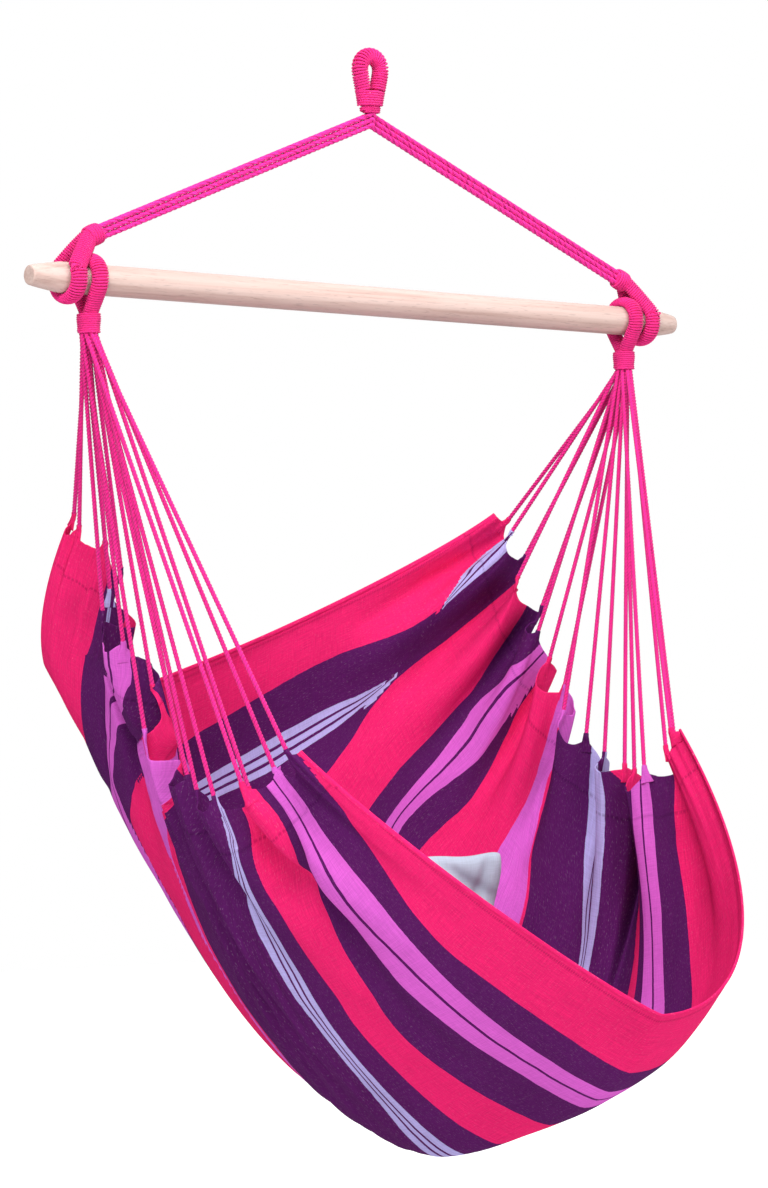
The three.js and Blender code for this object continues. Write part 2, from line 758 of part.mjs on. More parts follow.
for (const [sideName, side] of [["left", -1], ["right", 1]]) {
  for (let order = 0; order < legCordCount; order += 1) {
    const cord = ropeTube(legCordRoute(side, order), legCordDiameter, 8, 6);
    addPiece(`${sideName}_leg_cord_${order + 1}`, cord, cordPink, 0.85);
  }
  addPiece(`${sideName}_leg_loop`, legLoop(side), cordPink, 0.85);
  addPiece(`${sideName}_collar_winding`, collarWinding(side, sideName), cordPink, 0.85);
  addPiece(`${sideName}_seat_loop`, seatLoop(side), cordPink, 0.85);
  addPiece(`${sideName}_seat_winding`, seatWinding(side, sideName), cordPink, 0.85);
  for (let order = 0; order < seatCordCount; order += 1) {
    const cord = ropeTube(seatCordRoute(side, order), seatCordDiameter, 8, 6);
    addPiece(`${sideName}_seat_cord_${order + 1}`, cord, cordPink, 0.85);
  }
}

addPiece("seat_cloth", seatCloth(), seatRed, 0.9);
addPiece("seat_pillow", pillow(), pillowGrey, 0.95);

export default group;
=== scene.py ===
"""Looks for the hanging hammock chair: camera, light, cords, rope loops, bar, cloth, cushion.

Sizes are in millimetres where they are made, and in metres in every Blender mesh.
"""
import functools
import math

import bpy
import numpy as np
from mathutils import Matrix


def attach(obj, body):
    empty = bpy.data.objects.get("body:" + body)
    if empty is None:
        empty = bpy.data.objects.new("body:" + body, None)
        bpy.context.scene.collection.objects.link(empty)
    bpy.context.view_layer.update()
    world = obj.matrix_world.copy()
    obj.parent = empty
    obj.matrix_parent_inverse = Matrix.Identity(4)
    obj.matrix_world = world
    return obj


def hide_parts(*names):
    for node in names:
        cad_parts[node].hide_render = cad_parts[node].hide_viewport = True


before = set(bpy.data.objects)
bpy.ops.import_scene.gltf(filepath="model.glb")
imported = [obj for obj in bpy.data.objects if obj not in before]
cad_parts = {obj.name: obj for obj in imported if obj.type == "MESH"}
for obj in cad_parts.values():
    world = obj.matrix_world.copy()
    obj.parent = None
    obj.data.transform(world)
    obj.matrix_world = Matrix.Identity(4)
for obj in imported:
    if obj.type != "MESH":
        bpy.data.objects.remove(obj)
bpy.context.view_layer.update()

MM = 0.001
TURN = 2 * math.pi
ALONG_BAR = (1, 0, 0)
ACROSS_BAR = (0, 1, 0)
SIDES = (("left", -1), ("right", 1))

# Sizes of the solids
seat_gap = 0.3
eye_opening_width = 11
eye_core_radius = 8
eye_waist_drop = 13
eye_foot_drop = 54
eye_waist_draw_in = 0.6
eye_neck_bottom = 57
eye_neck_width = 31.4
eye_neck_depth = 17
wind_gap = 0.4
wind_diameter = 3
throat_length = 8.6
fork_radius = 9
bar_drop = 321
bar_length = 1100
bar_radius = 20
bar_taper_length = 46
bar_end_radius = 13
ring_radius = 26.3
leg_ring_place = 490
seat_ring_place = 458
leg_cord_diameter = 6.8
leg_cord_gap = 0.3
leg_neck_reach = 48
leg_neck_rise = 35
collar_length = 19.4
route_runs = 15
seat_neck_diameter = 26.4
seat_neck_bottom = 69
seat_cord_start_gap = 1.4
slot_pitch = 5.15
slot_row_pitch = 5.2
slot_rows = [2, 4, 5, 4, 2]
cord_end_gap = 4

cloth_side = 370
cloth_reach = 550
cloth_drop = 1147
left_end_drop = 16
right_end_rise = 9.6
left_end_forward = 12
right_front_draw_in = 15
pleat_depth = 27
pleat_lean_share = 0.12
pleat_run = 360
pleat_selvedge = 0.05
pleat_lines = 32
cloth_row_shares = np.array([
    [0.000, 0.985, 0.300, 0.240, -0.480, 0.565, 0.455, 2.40, 1.15, 0.05, 0.00, 0.000],
    [0.125, 1.000, 0.236, 0.290, -0.350, 0.600, 0.593, 1.95, 1.20, 0.05, 0.00, 0.018],
    [0.250, 1.000, 0.182, 0.357, -0.240, 0.510, 0.732, 1.60, 1.40, 0.01, 0.00, 0.030],
    [0.375, 0.986, 0.100, 0.427, -0.125, 0.350, 0.859, 1.27, 1.57, 0.00, 0.00, 0.038],
    [0.500, 0.960, 0.000, 0.497, -0.010, 0.110, 0.955, 1.25, 1.70, 0.00, 0.00, 0.004],
    [0.625, 0.973, -0.136, 0.549, 0.125, -0.164, 1.000, 1.30, 1.80, 0.00, 0.00, 0.000],
    [0.750, 0.973, -0.273, 0.567, 0.260, -0.490, 0.950, 1.25, 1.90, 0.00, 0.00, 0.000],
    [0.875, 0.959, -0.400, 0.545, 0.205, -0.764, 0.898, 1.20, 2.00, 0.02, 0.02, 0.000],
    [1.000, 0.900, -0.480, 0.507, 0.085, -1.000, 0.813, 1.15, 2.05, 0.00, 0.03, 0.000],
])
left_pleat_shares = np.array([
    [0.0, -0.3, 0.6], [0.045, 0.0, 0.6], [0.19, 0.5, 1.6], [0.353, 1.0, 0.9], [0.42, 1.5, 1.0],
    [0.505, 2.0, 0.7], [0.552, 2.5, 0.7], [0.595, 3.0, 0.55], [0.637, 3.5, 0.7],
    [0.705, 4.0, 0.7], [0.785, 4.5, 1.1], [0.855, 5.0, 0.7], [0.925, 5.5, 0.8], [1.0, 5.9, 0.6],
])
right_pleat_shares = np.array([
    [0.0, -0.35, 0.8], [0.045, 0.0, 1], [0.105, 0.5, 1], [0.165, 1.0, 1], [0.21, 1.5, 1],
    [0.255, 2.0, 1], [0.305, 2.5, 1], [0.355, 3.0, 1], [0.405, 3.5, 1], [0.46, 4.0, 1],
    [0.52, 4.5, 1], [0.59, 5.0, 0.9], [0.645, 5.5, 1.1], [0.70, 6.0, 1.5], [0.765, 6.5, 1.2],
    [0.86, 7.0, 0.9], [0.935, 7.5, 0.8], [1.0, 7.9, 0.7],
])
nudge_share = 0.004

pillow_width = 260
pillow_height = 310
pillow_thickness = 52
pillow_place = [40, -29, 887.8]
pillow_lean = 0.26
pillow_turn = -0.3

bar_z = -bar_drop
throat_top_z = -eye_neck_bottom - seat_gap
throat_bottom_z = throat_top_z - throat_length
fork_z = throat_bottom_z - seat_gap - fork_radius
collar_x = leg_ring_place - leg_neck_reach
collar_z = bar_z + ring_radius + leg_neck_rise
seat_neck_z = bar_z - seat_neck_bottom
leg_cord_step = leg_cord_diameter + leg_cord_gap
seat_cord_count = sum(slot_rows)

# Camera
# It looks from the left front, as the photo does; the small tilt and aim centre the chair
VIEW_TURN = math.radians(38)
VIEW_AIM = math.radians(0.197)
VIEW_TILT = math.radians(1.574)
VIEW_DISTANCE = 5.5
VIEW_HEIGHT = -0.8683

camera_data = bpy.data.cameras.new("camera")
camera_data.sensor_fit = "HORIZONTAL"
camera_data.sensor_width = 36
camera_data.lens = 191.02
camera_data.clip_end = 60
camera = bpy.data.objects.new("camera", camera_data)
camera.location = (
    -VIEW_DISTANCE * math.sin(VIEW_TURN), -VIEW_DISTANCE * math.cos(VIEW_TURN), VIEW_HEIGHT,
)
camera.rotation_euler = (math.pi / 2 + VIEW_TILT, 0, -VIEW_TURN - VIEW_AIM)
bpy.context.scene.collection.objects.link(camera)
bpy.context.scene.camera = camera
bpy.context.scene.view_settings.view_transform = "Standard"


# Colours and node helpers
def linear(colour):
    """An sRGB colour in 0 to 255 as linear RGBA."""
    shares = [c / 255 for c in colour]
    lin = [c / 12.92 if c <= 0.04045 else ((c + 0.055) / 1.055) ** 2.4 for c in shares]
    return (*lin, 1.0)


STRIPE_COLOURS = {
    "r": (238, 38, 111),
    "p": (88, 27, 93),
    "o": (218, 98, 206),
    "l": (184, 174, 232),
}
# Stripes from the back selvedge to the front one: width in millimetres and colour
STRIPES = (
    "95r 50p 12l 3p 12l 3p 12l 60p 95r 45p 23o 4p 23o 35p 102r 38o 5r 95p "
    "12l 3p 12l 3p 12l 45p 70r 70p 27o 5p 28o 55p 115r"
).split()
CLOTH_WIDTH = sum(int(stripe[:-1]) for stripe in STRIPES)
CLOTH_LENGTH = 1400


class Nodes:
    """The node tree of a material or a world, with short calls that add and wire nodes."""

    def __init__(self, owner, shader="Principled BSDF"):
        owner.use_nodes = True
        self.owner = owner
        self.tree = owner.node_tree
        self.shader = self.tree.nodes[shader]

    def feed(self, node, inputs):
        """Wire or set a node's inputs, which are given by name or number."""
        for key, value in inputs.items():
            if hasattr(value, "is_linked"):
                self.tree.links.new(value, node.inputs[key])
            else:
                node.inputs[key].default_value = value

    def add(self, kind, inputs=None, **settings):
        node = self.tree.nodes.new(kind)
        for key, value in settings.items():
            setattr(node, key, value)
        self.feed(node, inputs or {})
        return node

    def math(self, operation, first, second=0.0):
        return self.add("ShaderNodeMath", {0: first, 1: second}, operation=operation).outputs[0]

    def plus(self, first, second):
        return self.math("ADD", first, second)

    def minus(self, first, second):
        return self.math("SUBTRACT", first, second)

    def times(self, first, second):
        return self.math("MULTIPLY", first, second)

    def uv(self):
        uv_map = self.add("ShaderNodeUVMap", uv_map="UVMap")
        split = self.add("ShaderNodeSeparateXYZ", {0: uv_map.outputs[0]})
        return split.outputs[0], split.outputs[1]

    def place(self):
        return self.add("ShaderNodeTexCoord").outputs["Object"]

    def vector(self, x, y):
        return self.add("ShaderNodeCombineXYZ", {0: x, 1: y}).outputs[0]

    def noise(self, vector, scale, detail=3.0, roughness=0.5):
        """Noise of one scale, or stretched where three scales are given."""
        if isinstance(scale, tuple):
            mapping = self.add("ShaderNodeMapping", {"Vector": vector, "Scale": scale})
            vector, scale = mapping.outputs[0], 1.0
        return self.add("ShaderNodeTexNoise", {
            "Vector": vector, "Scale": scale, "Detail": detail, "Roughness": roughness,
        }).outputs[0]

    def threads(self, flat, warp, weft, warp_share):
        """The uneven threads of a cloth, from the stretch of the noise each way."""
        slub = self.times(self.noise(flat, warp, 2.0, 0.6), warp_share)
        return self.plus(slub, self.times(self.noise(flat, weft, 2.0, 0.6), 1 - warp_share))

    def weave(self, along, across, along_pitch, across_pitch):
        """The crossed ripples of a plain weave."""
        warp_wave = self.math("SINE", self.times(along, TURN / along_pitch))
        weft_wave = self.math("SINE", self.times(across, TURN / across_pitch))
        return self.times(warp_wave, weft_wave)

    def ramp(self, factor, stops, interpolation="LINEAR"):
        node = self.add("ShaderNodeValToRGB", {0: factor})
        ramp = node.color_ramp
        ramp.interpolation = interpolation
        while len(ramp.elements) < len(stops):
            ramp.elements.new(1.0)
        for element, (place, colour) in zip(ramp.elements, stops):
            element.position = place
            element.color = colour
        return node.outputs[0]

    def grey(self, factor, low, high, dark, light):
        """A grey from dark to light while the factor goes from low to high."""
        stops = [(low, (dark, dark, dark, 1)), (high, (light, light, light, 1))]
        return self.ramp(factor, stops)

    def tint(self, colour, by, factor=1.0, blend="MULTIPLY"):
        inputs = {"Factor": factor, 6: colour, 7: by}
        return self.add("ShaderNodeMix", inputs, data_type="RGBA", blend_type=blend).outputs[2]

    def shade(self, colour, *grey):
        """A colour made darker by a grey."""
        return self.tint(colour, self.grey(*grey))

    def finish(self, colour, height, depth, relief, roughness, sheen, specular):
        """The material with its colour, the relief of its surface and its shine."""
        bump = self.add("ShaderNodeBump", {
            "Strength": relief, "Distance": depth, "Height": height,
        })
        self.feed(self.shader, {
            "Base Color": colour, "Normal": bump.outputs[0], "Roughness": roughness,
            "Sheen Weight": sheen, "Sheen Roughness": 0.45, "Specular IOR Level": specular,
        })
        return self.owner


def cord_material(name, colour, strands, lay_turns):
    """Twisted cotton cord: grooves between strands with painted shade in them, fine fibres,
    uneven dye.
    """
    n = Nodes(bpy.data.materials.new(name))
    along, around = n.uv()
    strand = n.math("FRACT", n.times(around, float(strands)))
    to_groove = n.math("ABSOLUTE", n.minus(strand, 0.5))
    lay = n.plus(n.times(around, 9.0), n.times(along, lay_turns))
    fibre = n.noise(n.vector(n.times(along, 250.0), lay), (0.49, 8.4, 1.4), 4.0, 0.65)
    colour = n.shade(linear(colour), fibre, 0.3, 0.7, 0.80, 1.0)
    colour = n.shade(colour, n.noise(n.place(), 38.0), 0.3, 0.7, 0.88, 1.0)
    # Painted shade: the colour darkens towards the grooves between the strands
    colour = n.shade(colour, to_groove, 0.22, 0.5, 1.0, 0.52)
    height = n.plus(fibre, n.times(to_groove, -0.5))
    return n.finish(colour, height, 0.0005, 0.7, roughness=0.9, sheen=0.10, specular=0.12)


def stripe_stops():
    stops = []
    done = 0
    for stripe in STRIPES:
        stops.append((done / CLOTH_WIDTH, linear(STRIPE_COLOURS[stripe[-1]])))
        done += int(stripe[:-1])
    return stops


def cloth_material(name):
    """Striped plain weave: slubs, fine weave, the stitching of hems, uneven dye."""
    n = Nodes(bpy.data.materials.new(name))
    along, across = n.uv()
    flat = n.vector(along, across)
    wander = n.times(n.minus(n.noise(flat, (40, 10, 1)), 0.5), 0.0022)
    place = n.times(n.plus(across, wander), 1000.0 / CLOTH_WIDTH)
    colour = n.ramp(place, stripe_stops(), "CONSTANT")
    fleck = n.threads(flat, (22, 900, 1), (1000, 30, 1), 0.55)
    colour = n.shade(colour, fleck, 0.36, 0.64, 0.74, 1.0)
    colour = n.shade(colour, n.noise(n.place(), 7.0, 4.0, 0.55), 0.3, 0.7, 0.86, 1.0)
    light_thread = n.grey(n.noise(flat, (160, 1500, 1), 2.0), 0.60, 0.76, 0.0, 0.11)
    colour = n.tint(colour, (1.0, 0.7, 0.9, 1.0), light_thread, "SCREEN")
    height = n.plus(n.times(n.weave(along, across, 0.0021, 0.0017), 0.35), fleck)
    # Stitch lines: one beside each selvedge, one across the hem of each gathered end
    end_run = n.math("MINIMUM", along, n.minus(CLOTH_LENGTH * MM, along))
    side_run = n.math("MINIMUM", across, n.minus(CLOTH_WIDTH * MM, across))
    for run, other, inset in ((side_run, along, 0.0115), (end_run, across, 0.078)):
        off = n.math("ABSOLUTE", n.minus(run, inset))
        line = n.grey(off, 0.0007, 0.0016, 1.0, 0.0)
        dash = n.grey(n.math("FRACT", n.times(other, 260.0)), 0.28, 0.36, 0.0, 1.0)
        stitch = n.times(line, dash)
        colour = n.tint(colour, (0.55, 0.5, 0.55, 1.0), n.times(stitch, 0.7))
        pucker = n.grey(off, 0.0, 0.006, 1.0, 0.0)
        height = n.minus(height, n.times(pucker, 0.9))
    return n.finish(colour, height, 0.0006, 0.6, roughness=0.95, sheen=0.0, specular=0.02)


def wood_material(name):
    """Pale beech: long grain, broad soft bands, short flecks."""
    n = Nodes(bpy.data.materials.new(name))
    place = n.place()
    grain = n.noise(place, (3.0, 120.0, 120.0), 5.0, 0.6)
    broad = n.noise(place, (1.6, 22.0, 22.0))
    fleck = n.noise(place, (55.0, 620.0, 620.0), 2.0)
    colour = n.ramp(grain, [
        (0.30, linear((172, 142, 133))), (0.48, linear((194, 167, 158))),
        (0.62, linear((202, 178, 170))), (0.75, linear((182, 153, 144))),
    ])
    colour = n.shade(colour, broad, 0.3, 0.7, 0.88, 1.0)
    colour = n.shade(colour, fleck, 0.60, 0.68, 1.0, 0.80)
    height = n.plus(n.times(grain, 0.6), n.times(fleck, 0.4))
    gloss = n.grey(broad, 0.3, 0.7, 0.42, 0.58)
    return n.finish(colour, height, 0.0004, 0.5, roughness=gloss, sheen=0.0, specular=0.4)


def cushion_material(name):
    """Pale cotton: fine weave and soft grey clouds."""
    n = Nodes(bpy.data.materials.new(name))
    along, across = n.uv()
    fleck = n.threads(n.vector(along, across), (30, 700, 1), (700, 30, 1), 0.5)
    colour = n.shade(linear((178, 186, 204)), fleck, 0.36, 0.64, 0.84, 1.0)
    colour = n.shade(colour, n.noise(n.place(), 16.0, 4.0, 0.6), 0.3, 0.7, 0.86, 1.0)
    height = n.plus(n.times(n.weave(along, across, 0.0019, 0.0019), 0.3), fleck)
    return n.finish(colour, height, 0.0006, 0.6, roughness=0.92, sheen=0.15, specular=0.15)


seat_cord_stuff = cord_material("seat_cord_cotton", (250, 48, 150), 3, 520.0)
leg_cord_stuff = cord_material("leg_cord_cotton", (250, 52, 160), 3, 380.0)
wound_stuff = cord_material("wound_cord_cotton", (254, 50, 145), 2, 900.0)
cloth_stuff = cloth_material("striped_cloth")
wood_stuff = wood_material("beech_wood")
cushion_stuff = cushion_material("cushion_cotton")


# Lines and easing
def unit(vectors):
    return vectors / np.linalg.norm(vectors, axis=-1, keepdims=True)


def eased(share):
    return share * share * (3 - 2 * share)


def bell(off):
    return np.exp(-off ** 2)


def circle(sides):
    return TURN * np.arange(sides) / sides


def run_along(points):
    """How far along a line each of its points lies."""
    steps = np.linalg.norm(np.diff(points, axis=0), axis=1)
    return np.concatenate([[0], np.cumsum(steps)])


def look_up(at, runs, points):
    """The points of a line at other runs along it."""
    return np.stack([np.interp(at, runs, points[:, k]) for k in range(3)], axis=-1)


def resample(points, step):
    """The same line with evenly spaced points."""
    points = np.asarray(points, float)
    runs = run_along(points)
    count = max(int(round(runs[-1] / step)), 2)
    return look_up(np.linspace(0, runs[-1], count + 1), runs, points)


def smooth_path(points, step):
    """A smooth line through points, resampled evenly."""
    points = np.asarray(points, float)
    first = 2 * points[0] - points[1]
    last = 2 * points[-1] - points[-2]
    more = np.vstack([first, points, last])
    t = np.linspace(0, 1, 24, endpoint=False)[:, None]
    runs = []
    for i in range(1, len(more) - 2):
        p0, p1, p2, p3 = more[i - 1:i + 3]
        curve = 2 * p1 + (p2 - p0) * t + (2 * p0 - 5 * p1 + 4 * p2 - p3) * t ** 2
        runs.append(0.5 * (curve + (3 * p1 - p0 - 3 * p2 + p3) * t ** 3))
    runs.append(points[-1:])
    return resample(np.vstack(runs), step)


def hermite(t, span, low, high, low_slope, high_slope):
    """A smooth step from low to high that keeps to the slopes at both."""
    start = (2 * t ** 3 - 3 * t ** 2 + 1) * low + (t ** 3 - 2 * t ** 2 + t) * span * low_slope
    end = (3 * t ** 2 - 2 * t ** 3) * high + (t ** 3 - t ** 2) * span * high_slope
    return start + end


def plumb(*heights, x=0):
    """Points straight above each other, at these heights."""
    return np.array([[x, 0, z] for z in heights], float)


# Meshes and tubes
def mesh_piece(name, points, faces, stuff, uvs=None, corner_across=None):
    """A smooth-shaded piece from points in millimetres; uvs are per point, in metres.

    corner_across gives the first faces' corners a second uv of their own.
    """
    mesh = bpy.data.meshes.new(name)
    mesh.from_pydata((np.asarray(points) * MM).tolist(), [], faces)
    mesh.materials.append(stuff)
    mesh.shade_smooth()
    if uvs is not None:
        layer = mesh.uv_layers.new(name="UVMap")
        corners = np.empty(len(mesh.loops), dtype=np.int32)
        mesh.loops.foreach_get("vertex_index", corners)
        corner_uvs = np.asarray(uvs, dtype=np.float32)[corners]
        if corner_across is not None:
            corner_uvs[:len(corner_across), 1] = corner_across
        layer.data.foreach_set("uv", corner_uvs.ravel())
    piece = bpy.data.objects.new(name, mesh)
    bpy.context.scene.collection.objects.link(piece)
    return piece


def place_piece(piece, body, slot, *nodes):
    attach(piece, body)
    if nodes:
        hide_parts(*nodes)


def grid_faces(rows, columns, wrap, start=0):
    """Quads of a grid of points; wrap joins the last column to the first."""
    faces = []
    for i in range(rows - 1):
        for j in range(columns if wrap else columns - 1):
            k = (j + 1) % columns
            a = start + i * columns
            faces.append((a + j, a + k, a + columns + k, a + columns + j))
    return faces


def closed_faces(rows, columns):
    """Faces of two grids of points, the upper one first, and of the rim that joins them."""
    size = rows * columns
    faces = [tuple(reversed(face)) for face in grid_faces(rows, columns, False)]
    faces += [tuple(size + k for k in reversed(face)) for face in faces]
    for i in range(rows - 1):
        a, b = i * columns, (i + 1) * columns
        faces.append((b, a, size + a, size + b))
        a, b = a + columns - 1, b + columns - 1
        faces.append((a, b, size + b, size + a))
    for j in range(columns - 1):
        faces.append((j, j + 1, size + j + 1, size + j))
        a = (rows - 1) * columns + j
        faces.append((a + 1, a, size + a, size + a + 1))
    return faces


def tube_parts(rings, start=0):
    """Points, faces and uvs of a tube whose rings are given, with a flat cap at each end."""
    count, sides, _ = rings.shape
    faces = grid_faces(count, sides, True, start)
    faces.append(tuple(start + j for j in reversed(range(sides))))
    faces.append(tuple(start + (count - 1) * sides + j for j in range(sides)))
    along = run_along(rings.mean(axis=1)) * MM
    around = np.arange(sides) / sides
    uvs = np.stack(np.meshgrid(along, around, indexing="ij"), axis=-1).reshape(-1, 2)
    return rings.reshape(-1, 3), faces, uvs


def tube_piece(name, many_rings, stuff):
    """One piece from one tube or several."""
    points, faces, uvs = [], [], []
    total = 0
    for rings in many_rings:
        more_points, more_faces, more_uvs = tube_parts(rings, total)
        points.append(more_points)
        faces += more_faces
        uvs.append(more_uvs)
        total += len(more_points)
    return mesh_piece(name, np.vstack(points), faces, stuff, np.vstack(uvs))


def wound_piece(name, body, node, *many_rings):
    """One piece of the rope that is wound or closed into loops."""
    place_piece(tube_piece(name, many_rings, wound_stuff), body, "cord", node)


def frames_along(path, hint):
    """Along, wide and deep directions at each point; wide stays as near the hint as it can."""
    along = unit(np.gradient(path, axis=0))
    hint = np.broadcast_to(np.asarray(hint, float), path.shape)
    wide = unit(hint - (hint * along).sum(axis=1, keepdims=True) * along)
    return along, wide, np.cross(along, wide)


def rings_round(path, hint, wide_reach, deep_reach):
    """Rings round a path from how far wide and how far deep each of their points lies."""
    _, wide, deep = frames_along(path, hint)
    spokes = wide_reach[..., None] * wide[:, None] + deep_reach[..., None] * deep[:, None]
    return path[:, None] + spokes


def strand_radius(angles, strands, share):
    """Outline of touching strands: 1 at a strand's crown, less in the grooves."""
    half = math.pi / strands
    off = (angles + half) % (2 * half) - half
    centre = 1 - share
    return centre * np.cos(off) + np.sqrt(np.maximum(share ** 2 - (centre * np.sin(off)) ** 2, 0))


def twisted_rings(path, radius, pitch, strands=3, sides=15, share=0.62, turn=0.0, stretch=1.0):
    """Rings of a twisted cord along a path; pitch is the length of one full turn."""
    angles = circle(sides)
    around = angles[None, :] + (TURN * run_along(path) / pitch + turn)[:, None]
    out = radius * strand_radius(angles, strands, share)
    return rings_round(path, ACROSS_BAR, out * np.cos(around) * stretch, out * np.sin(around))


def bundle_rings(path, hint, wide_half, deep_half, sides=20):
    """Rings of a plain bundle, an oval of given half sizes at each point."""
    wide, deep = [np.broadcast_to(half, len(path))[:, None] for half in (wide_half, deep_half)]
    angles = circle(sides)
    return rings_round(path, hint, wide * np.cos(angles), deep * np.sin(angles))


def winding_rings(path, hint, wide_half, deep_half, wire, pitch, steps=22, square=1.0, start=0.0):
    """Rings of one unbroken cord wound round a bundle; turns are pressed flat where tight."""
    runs = run_along(path)
    count = int(round(runs[-1] / pitch * steps))
    at = np.linspace(0, runs[-1], count + 1)
    middle = look_up(at, runs, path)
    along, wide, deep = [unit(look_up(at, runs, way)) for way in frames_along(path, hint)]
    w, d = [
        (np.interp(at, runs, np.broadcast_to(half, len(path))) + wire)[:, None]
        for half in (wide_half, deep_half)
    ]
    angle = (TURN * np.arange(count + 1) / steps + start)[:, None]
    cos, sin = np.cos(angle), np.sin(angle)
    centre = middle + wide * w * np.sign(cos) * np.abs(cos) ** square
    centre = centre + deep * d * np.sign(sin) * np.abs(sin) ** square
    outward = unit(wide * cos / w + deep * sin / d)
    gap = np.full(count + 1, pitch)
    if count > steps:
        apart = np.linalg.norm(centre[steps:] - centre[:-steps], axis=1)
        gap[:-steps] = apart
        gap[steps:] = np.minimum(gap[steps:], apart)
        gap[-steps:] = apart[-steps:]
    half_wide = np.minimum(wire, 0.51 * gap)[:, None, None]
    turn = circle(9)[None, :, None]
    spokes = np.cos(turn) * outward[:, None] * wire + np.sin(turn) * along[:, None] * half_wide
    return centre[:, None] + spokes


# The solid cloth's shape
def smooth_row(rows, place):
    """A table's values at a place between its rows, whose first value is their place."""
    i = 0
    while i + 2 < len(rows) and place >= rows[i + 1][0]:
        i += 1

    def slope(k):
        low, high = rows[max(k - 1, 0)], rows[min(k + 1, len(rows) - 1)]
        return (high - low) / (high[0] - low[0])

    span = rows[i + 1][0] - rows[i][0]
    t = (place - rows[i][0]) / span
    return hermite(t, span, rows[i], rows[i + 1], slope(i), slope(i + 1))


@functools.cache
def warp_line(place, half=60):
    """One warp line of the cloth from its left end to its right end, and its arc lengths."""
    row = smooth_row(cloth_row_shares, place)
    _, end_out, end_back, end_down, mid_side, mid_back, mid_down = row[:7]
    full_l, full_r, out_l, out_r, left_rise = row[7:]
    k = np.arange(-half, half + 1)
    side = np.where(k < 0, -1, 1)
    angle = np.abs(k) / half * (math.pi / 2)
    full = np.where(side < 0, full_l, full_r)
    bulge = np.where(side < 0, out_l, out_r) * cloth_side
    out = np.sin(angle) ** (2 / full)
    deep = np.maximum(np.cos(angle), 0) ** (2 / full)
    end_y = end_back * cloth_reach - np.where(side < 0, left_end_forward * place, 0)
    own_rise = np.where(side < 0, left_rise * cloth_drop - left_end_drop, right_end_rise)
    end_z = -end_down * cloth_drop + own_rise
    mid_x = mid_side * cloth_side
    end_x = side * end_out * cloth_side - np.where(side > 0, right_front_draw_in * place ** 3, 0)
    x = mid_x + out * (end_x - mid_x) + side * bulge * np.sin(2 * angle)
    y = end_y + deep * (mid_back * cloth_reach - end_y)
    z = end_z + deep * (-mid_down * cloth_drop - end_z)
    points = np.stack([x, y, bar_z + z], axis=1)
    return points, run_along(points)


def smooth_point(across, along):
    points, lengths = warp_line(across)
    return look_up(min(max(along, 0), 1) * lengths[-1], lengths, points)


def from_selvedge(across, width):
    """0 at both selvedges, 1 from the given width inward."""
    return np.minimum(np.minimum(across, 1 - across) / width, 1)


def pleat_fade(across, run):
    """How much of a pleat's depth is left at a run from the end."""
    return eased(np.maximum(1 - run / pleat_run, 0)) * from_selvedge(across, pleat_selvedge)


def cloth_point(across, along):
    """A point of the solid cloth's middle layer, pleats included."""
    a0, a1 = max(across - nudge_share, 0), min(across + nudge_share, 1)
    l0, l1 = max(along - nudge_share, 0), min(along + nudge_share, 1)
    warp = smooth_point(across, l1) - smooth_point(across, l0)
    weft = smooth_point(a1, along) - smooth_point(a0, along)
    normal = unit(np.cross(warp, weft))
    run = min(along, 1 - along) * warp_line(across)[1][-1]
    _, place, share = smooth_row(left_pleat_shares if along < 0.5 else right_pleat_shares, across)
    depth = pleat_depth * share * pleat_fade(across, run)
    point = smooth_point(across, along) + normal * depth * math.cos(TURN * place)
    return point + unit(weft) * depth * pleat_lean_share * math.sin(2 * TURN * place)


def pleat_places(table):
    """Where the solid cloth's evenly phased pleat lines lie across it."""
    places = [0.0]
    for k in range(pleat_lines):
        low, high = 0.0, 1.0
        for _ in range(40):
            middle = (low + high) / 2
            if smooth_row(table, middle)[1] < table[-1][1] * k / pleat_lines:
                low = middle
            else:
                high = middle
        places.append((low + high) / 2)
    return places + [1.0]


end_places = {0: pleat_places(left_pleat_shares), 1: pleat_places(right_pleat_shares)}


def edge_point(across, end):
    """A point on the solid cloth's straight-sided end edge, where a cord is tied."""
    places = end_places[end]
    j = 1
    while places[j] < across:
        j += 1
    low, high = places[j - 1], places[j]
    t = (across - low) / (high - low)
    return cloth_point(low, end) * (1 - t) + cloth_point(high, end) * t


# Seat cords and leg cords
def cord_edge(side, order):
    return edge_point((order + 0.5) / seat_cord_count, 0 if side < 0 else 1)


def cord_slots(side):
    """Where each cord starts: in each row the cord tied furthest out lies outermost."""
    slots = {}
    first = 0
    for row, count in enumerate(slot_rows):
        y = ((len(slot_rows) - 1) / 2 - row) * slot_row_pitch
        orders = range(first, first + count)
        for i, order in enumerate(sorted(orders, key=lambda k: abs(cord_edge(side, k)[0]))):
            x = side * (seat_ring_place + (i - (count - 1) / 2) * slot_pitch)
            slots[order] = np.array([x, y, seat_neck_z - seat_cord_start_gap])
        first += count
    return slots


def straight_route(start, end):
    return np.array([start + (end - start) * i / route_runs for i in range(route_runs + 1)])


def seat_cord_route(side, order, slots):
    start = slots[order]
    edge = cord_edge(side, order)
    share = 1 - cord_end_gap / np.linalg.norm(edge - start)
    return straight_route(start, start + (edge - start) * share)


def leg_direction(side):
    """The way from the fork to a collar."""
    return unit(np.array([side * collar_x, 0, collar_z - fork_z]))


def leg_cord_route(side, order):
    along = leg_direction(side)
    over = np.array([-side * along[2], 0, side * along[0]])
    offset = (order - 1) * leg_cord_step * over
    start = np.array([0, 0, fork_z]) + along * (fork_radius + seat_gap)
    end = np.array([side * collar_x, 0, collar_z]) - along * seat_gap
    return straight_route(start + offset, end + offset)


def declare_cord(piece, body, node):
    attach(piece, body)
    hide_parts(node)


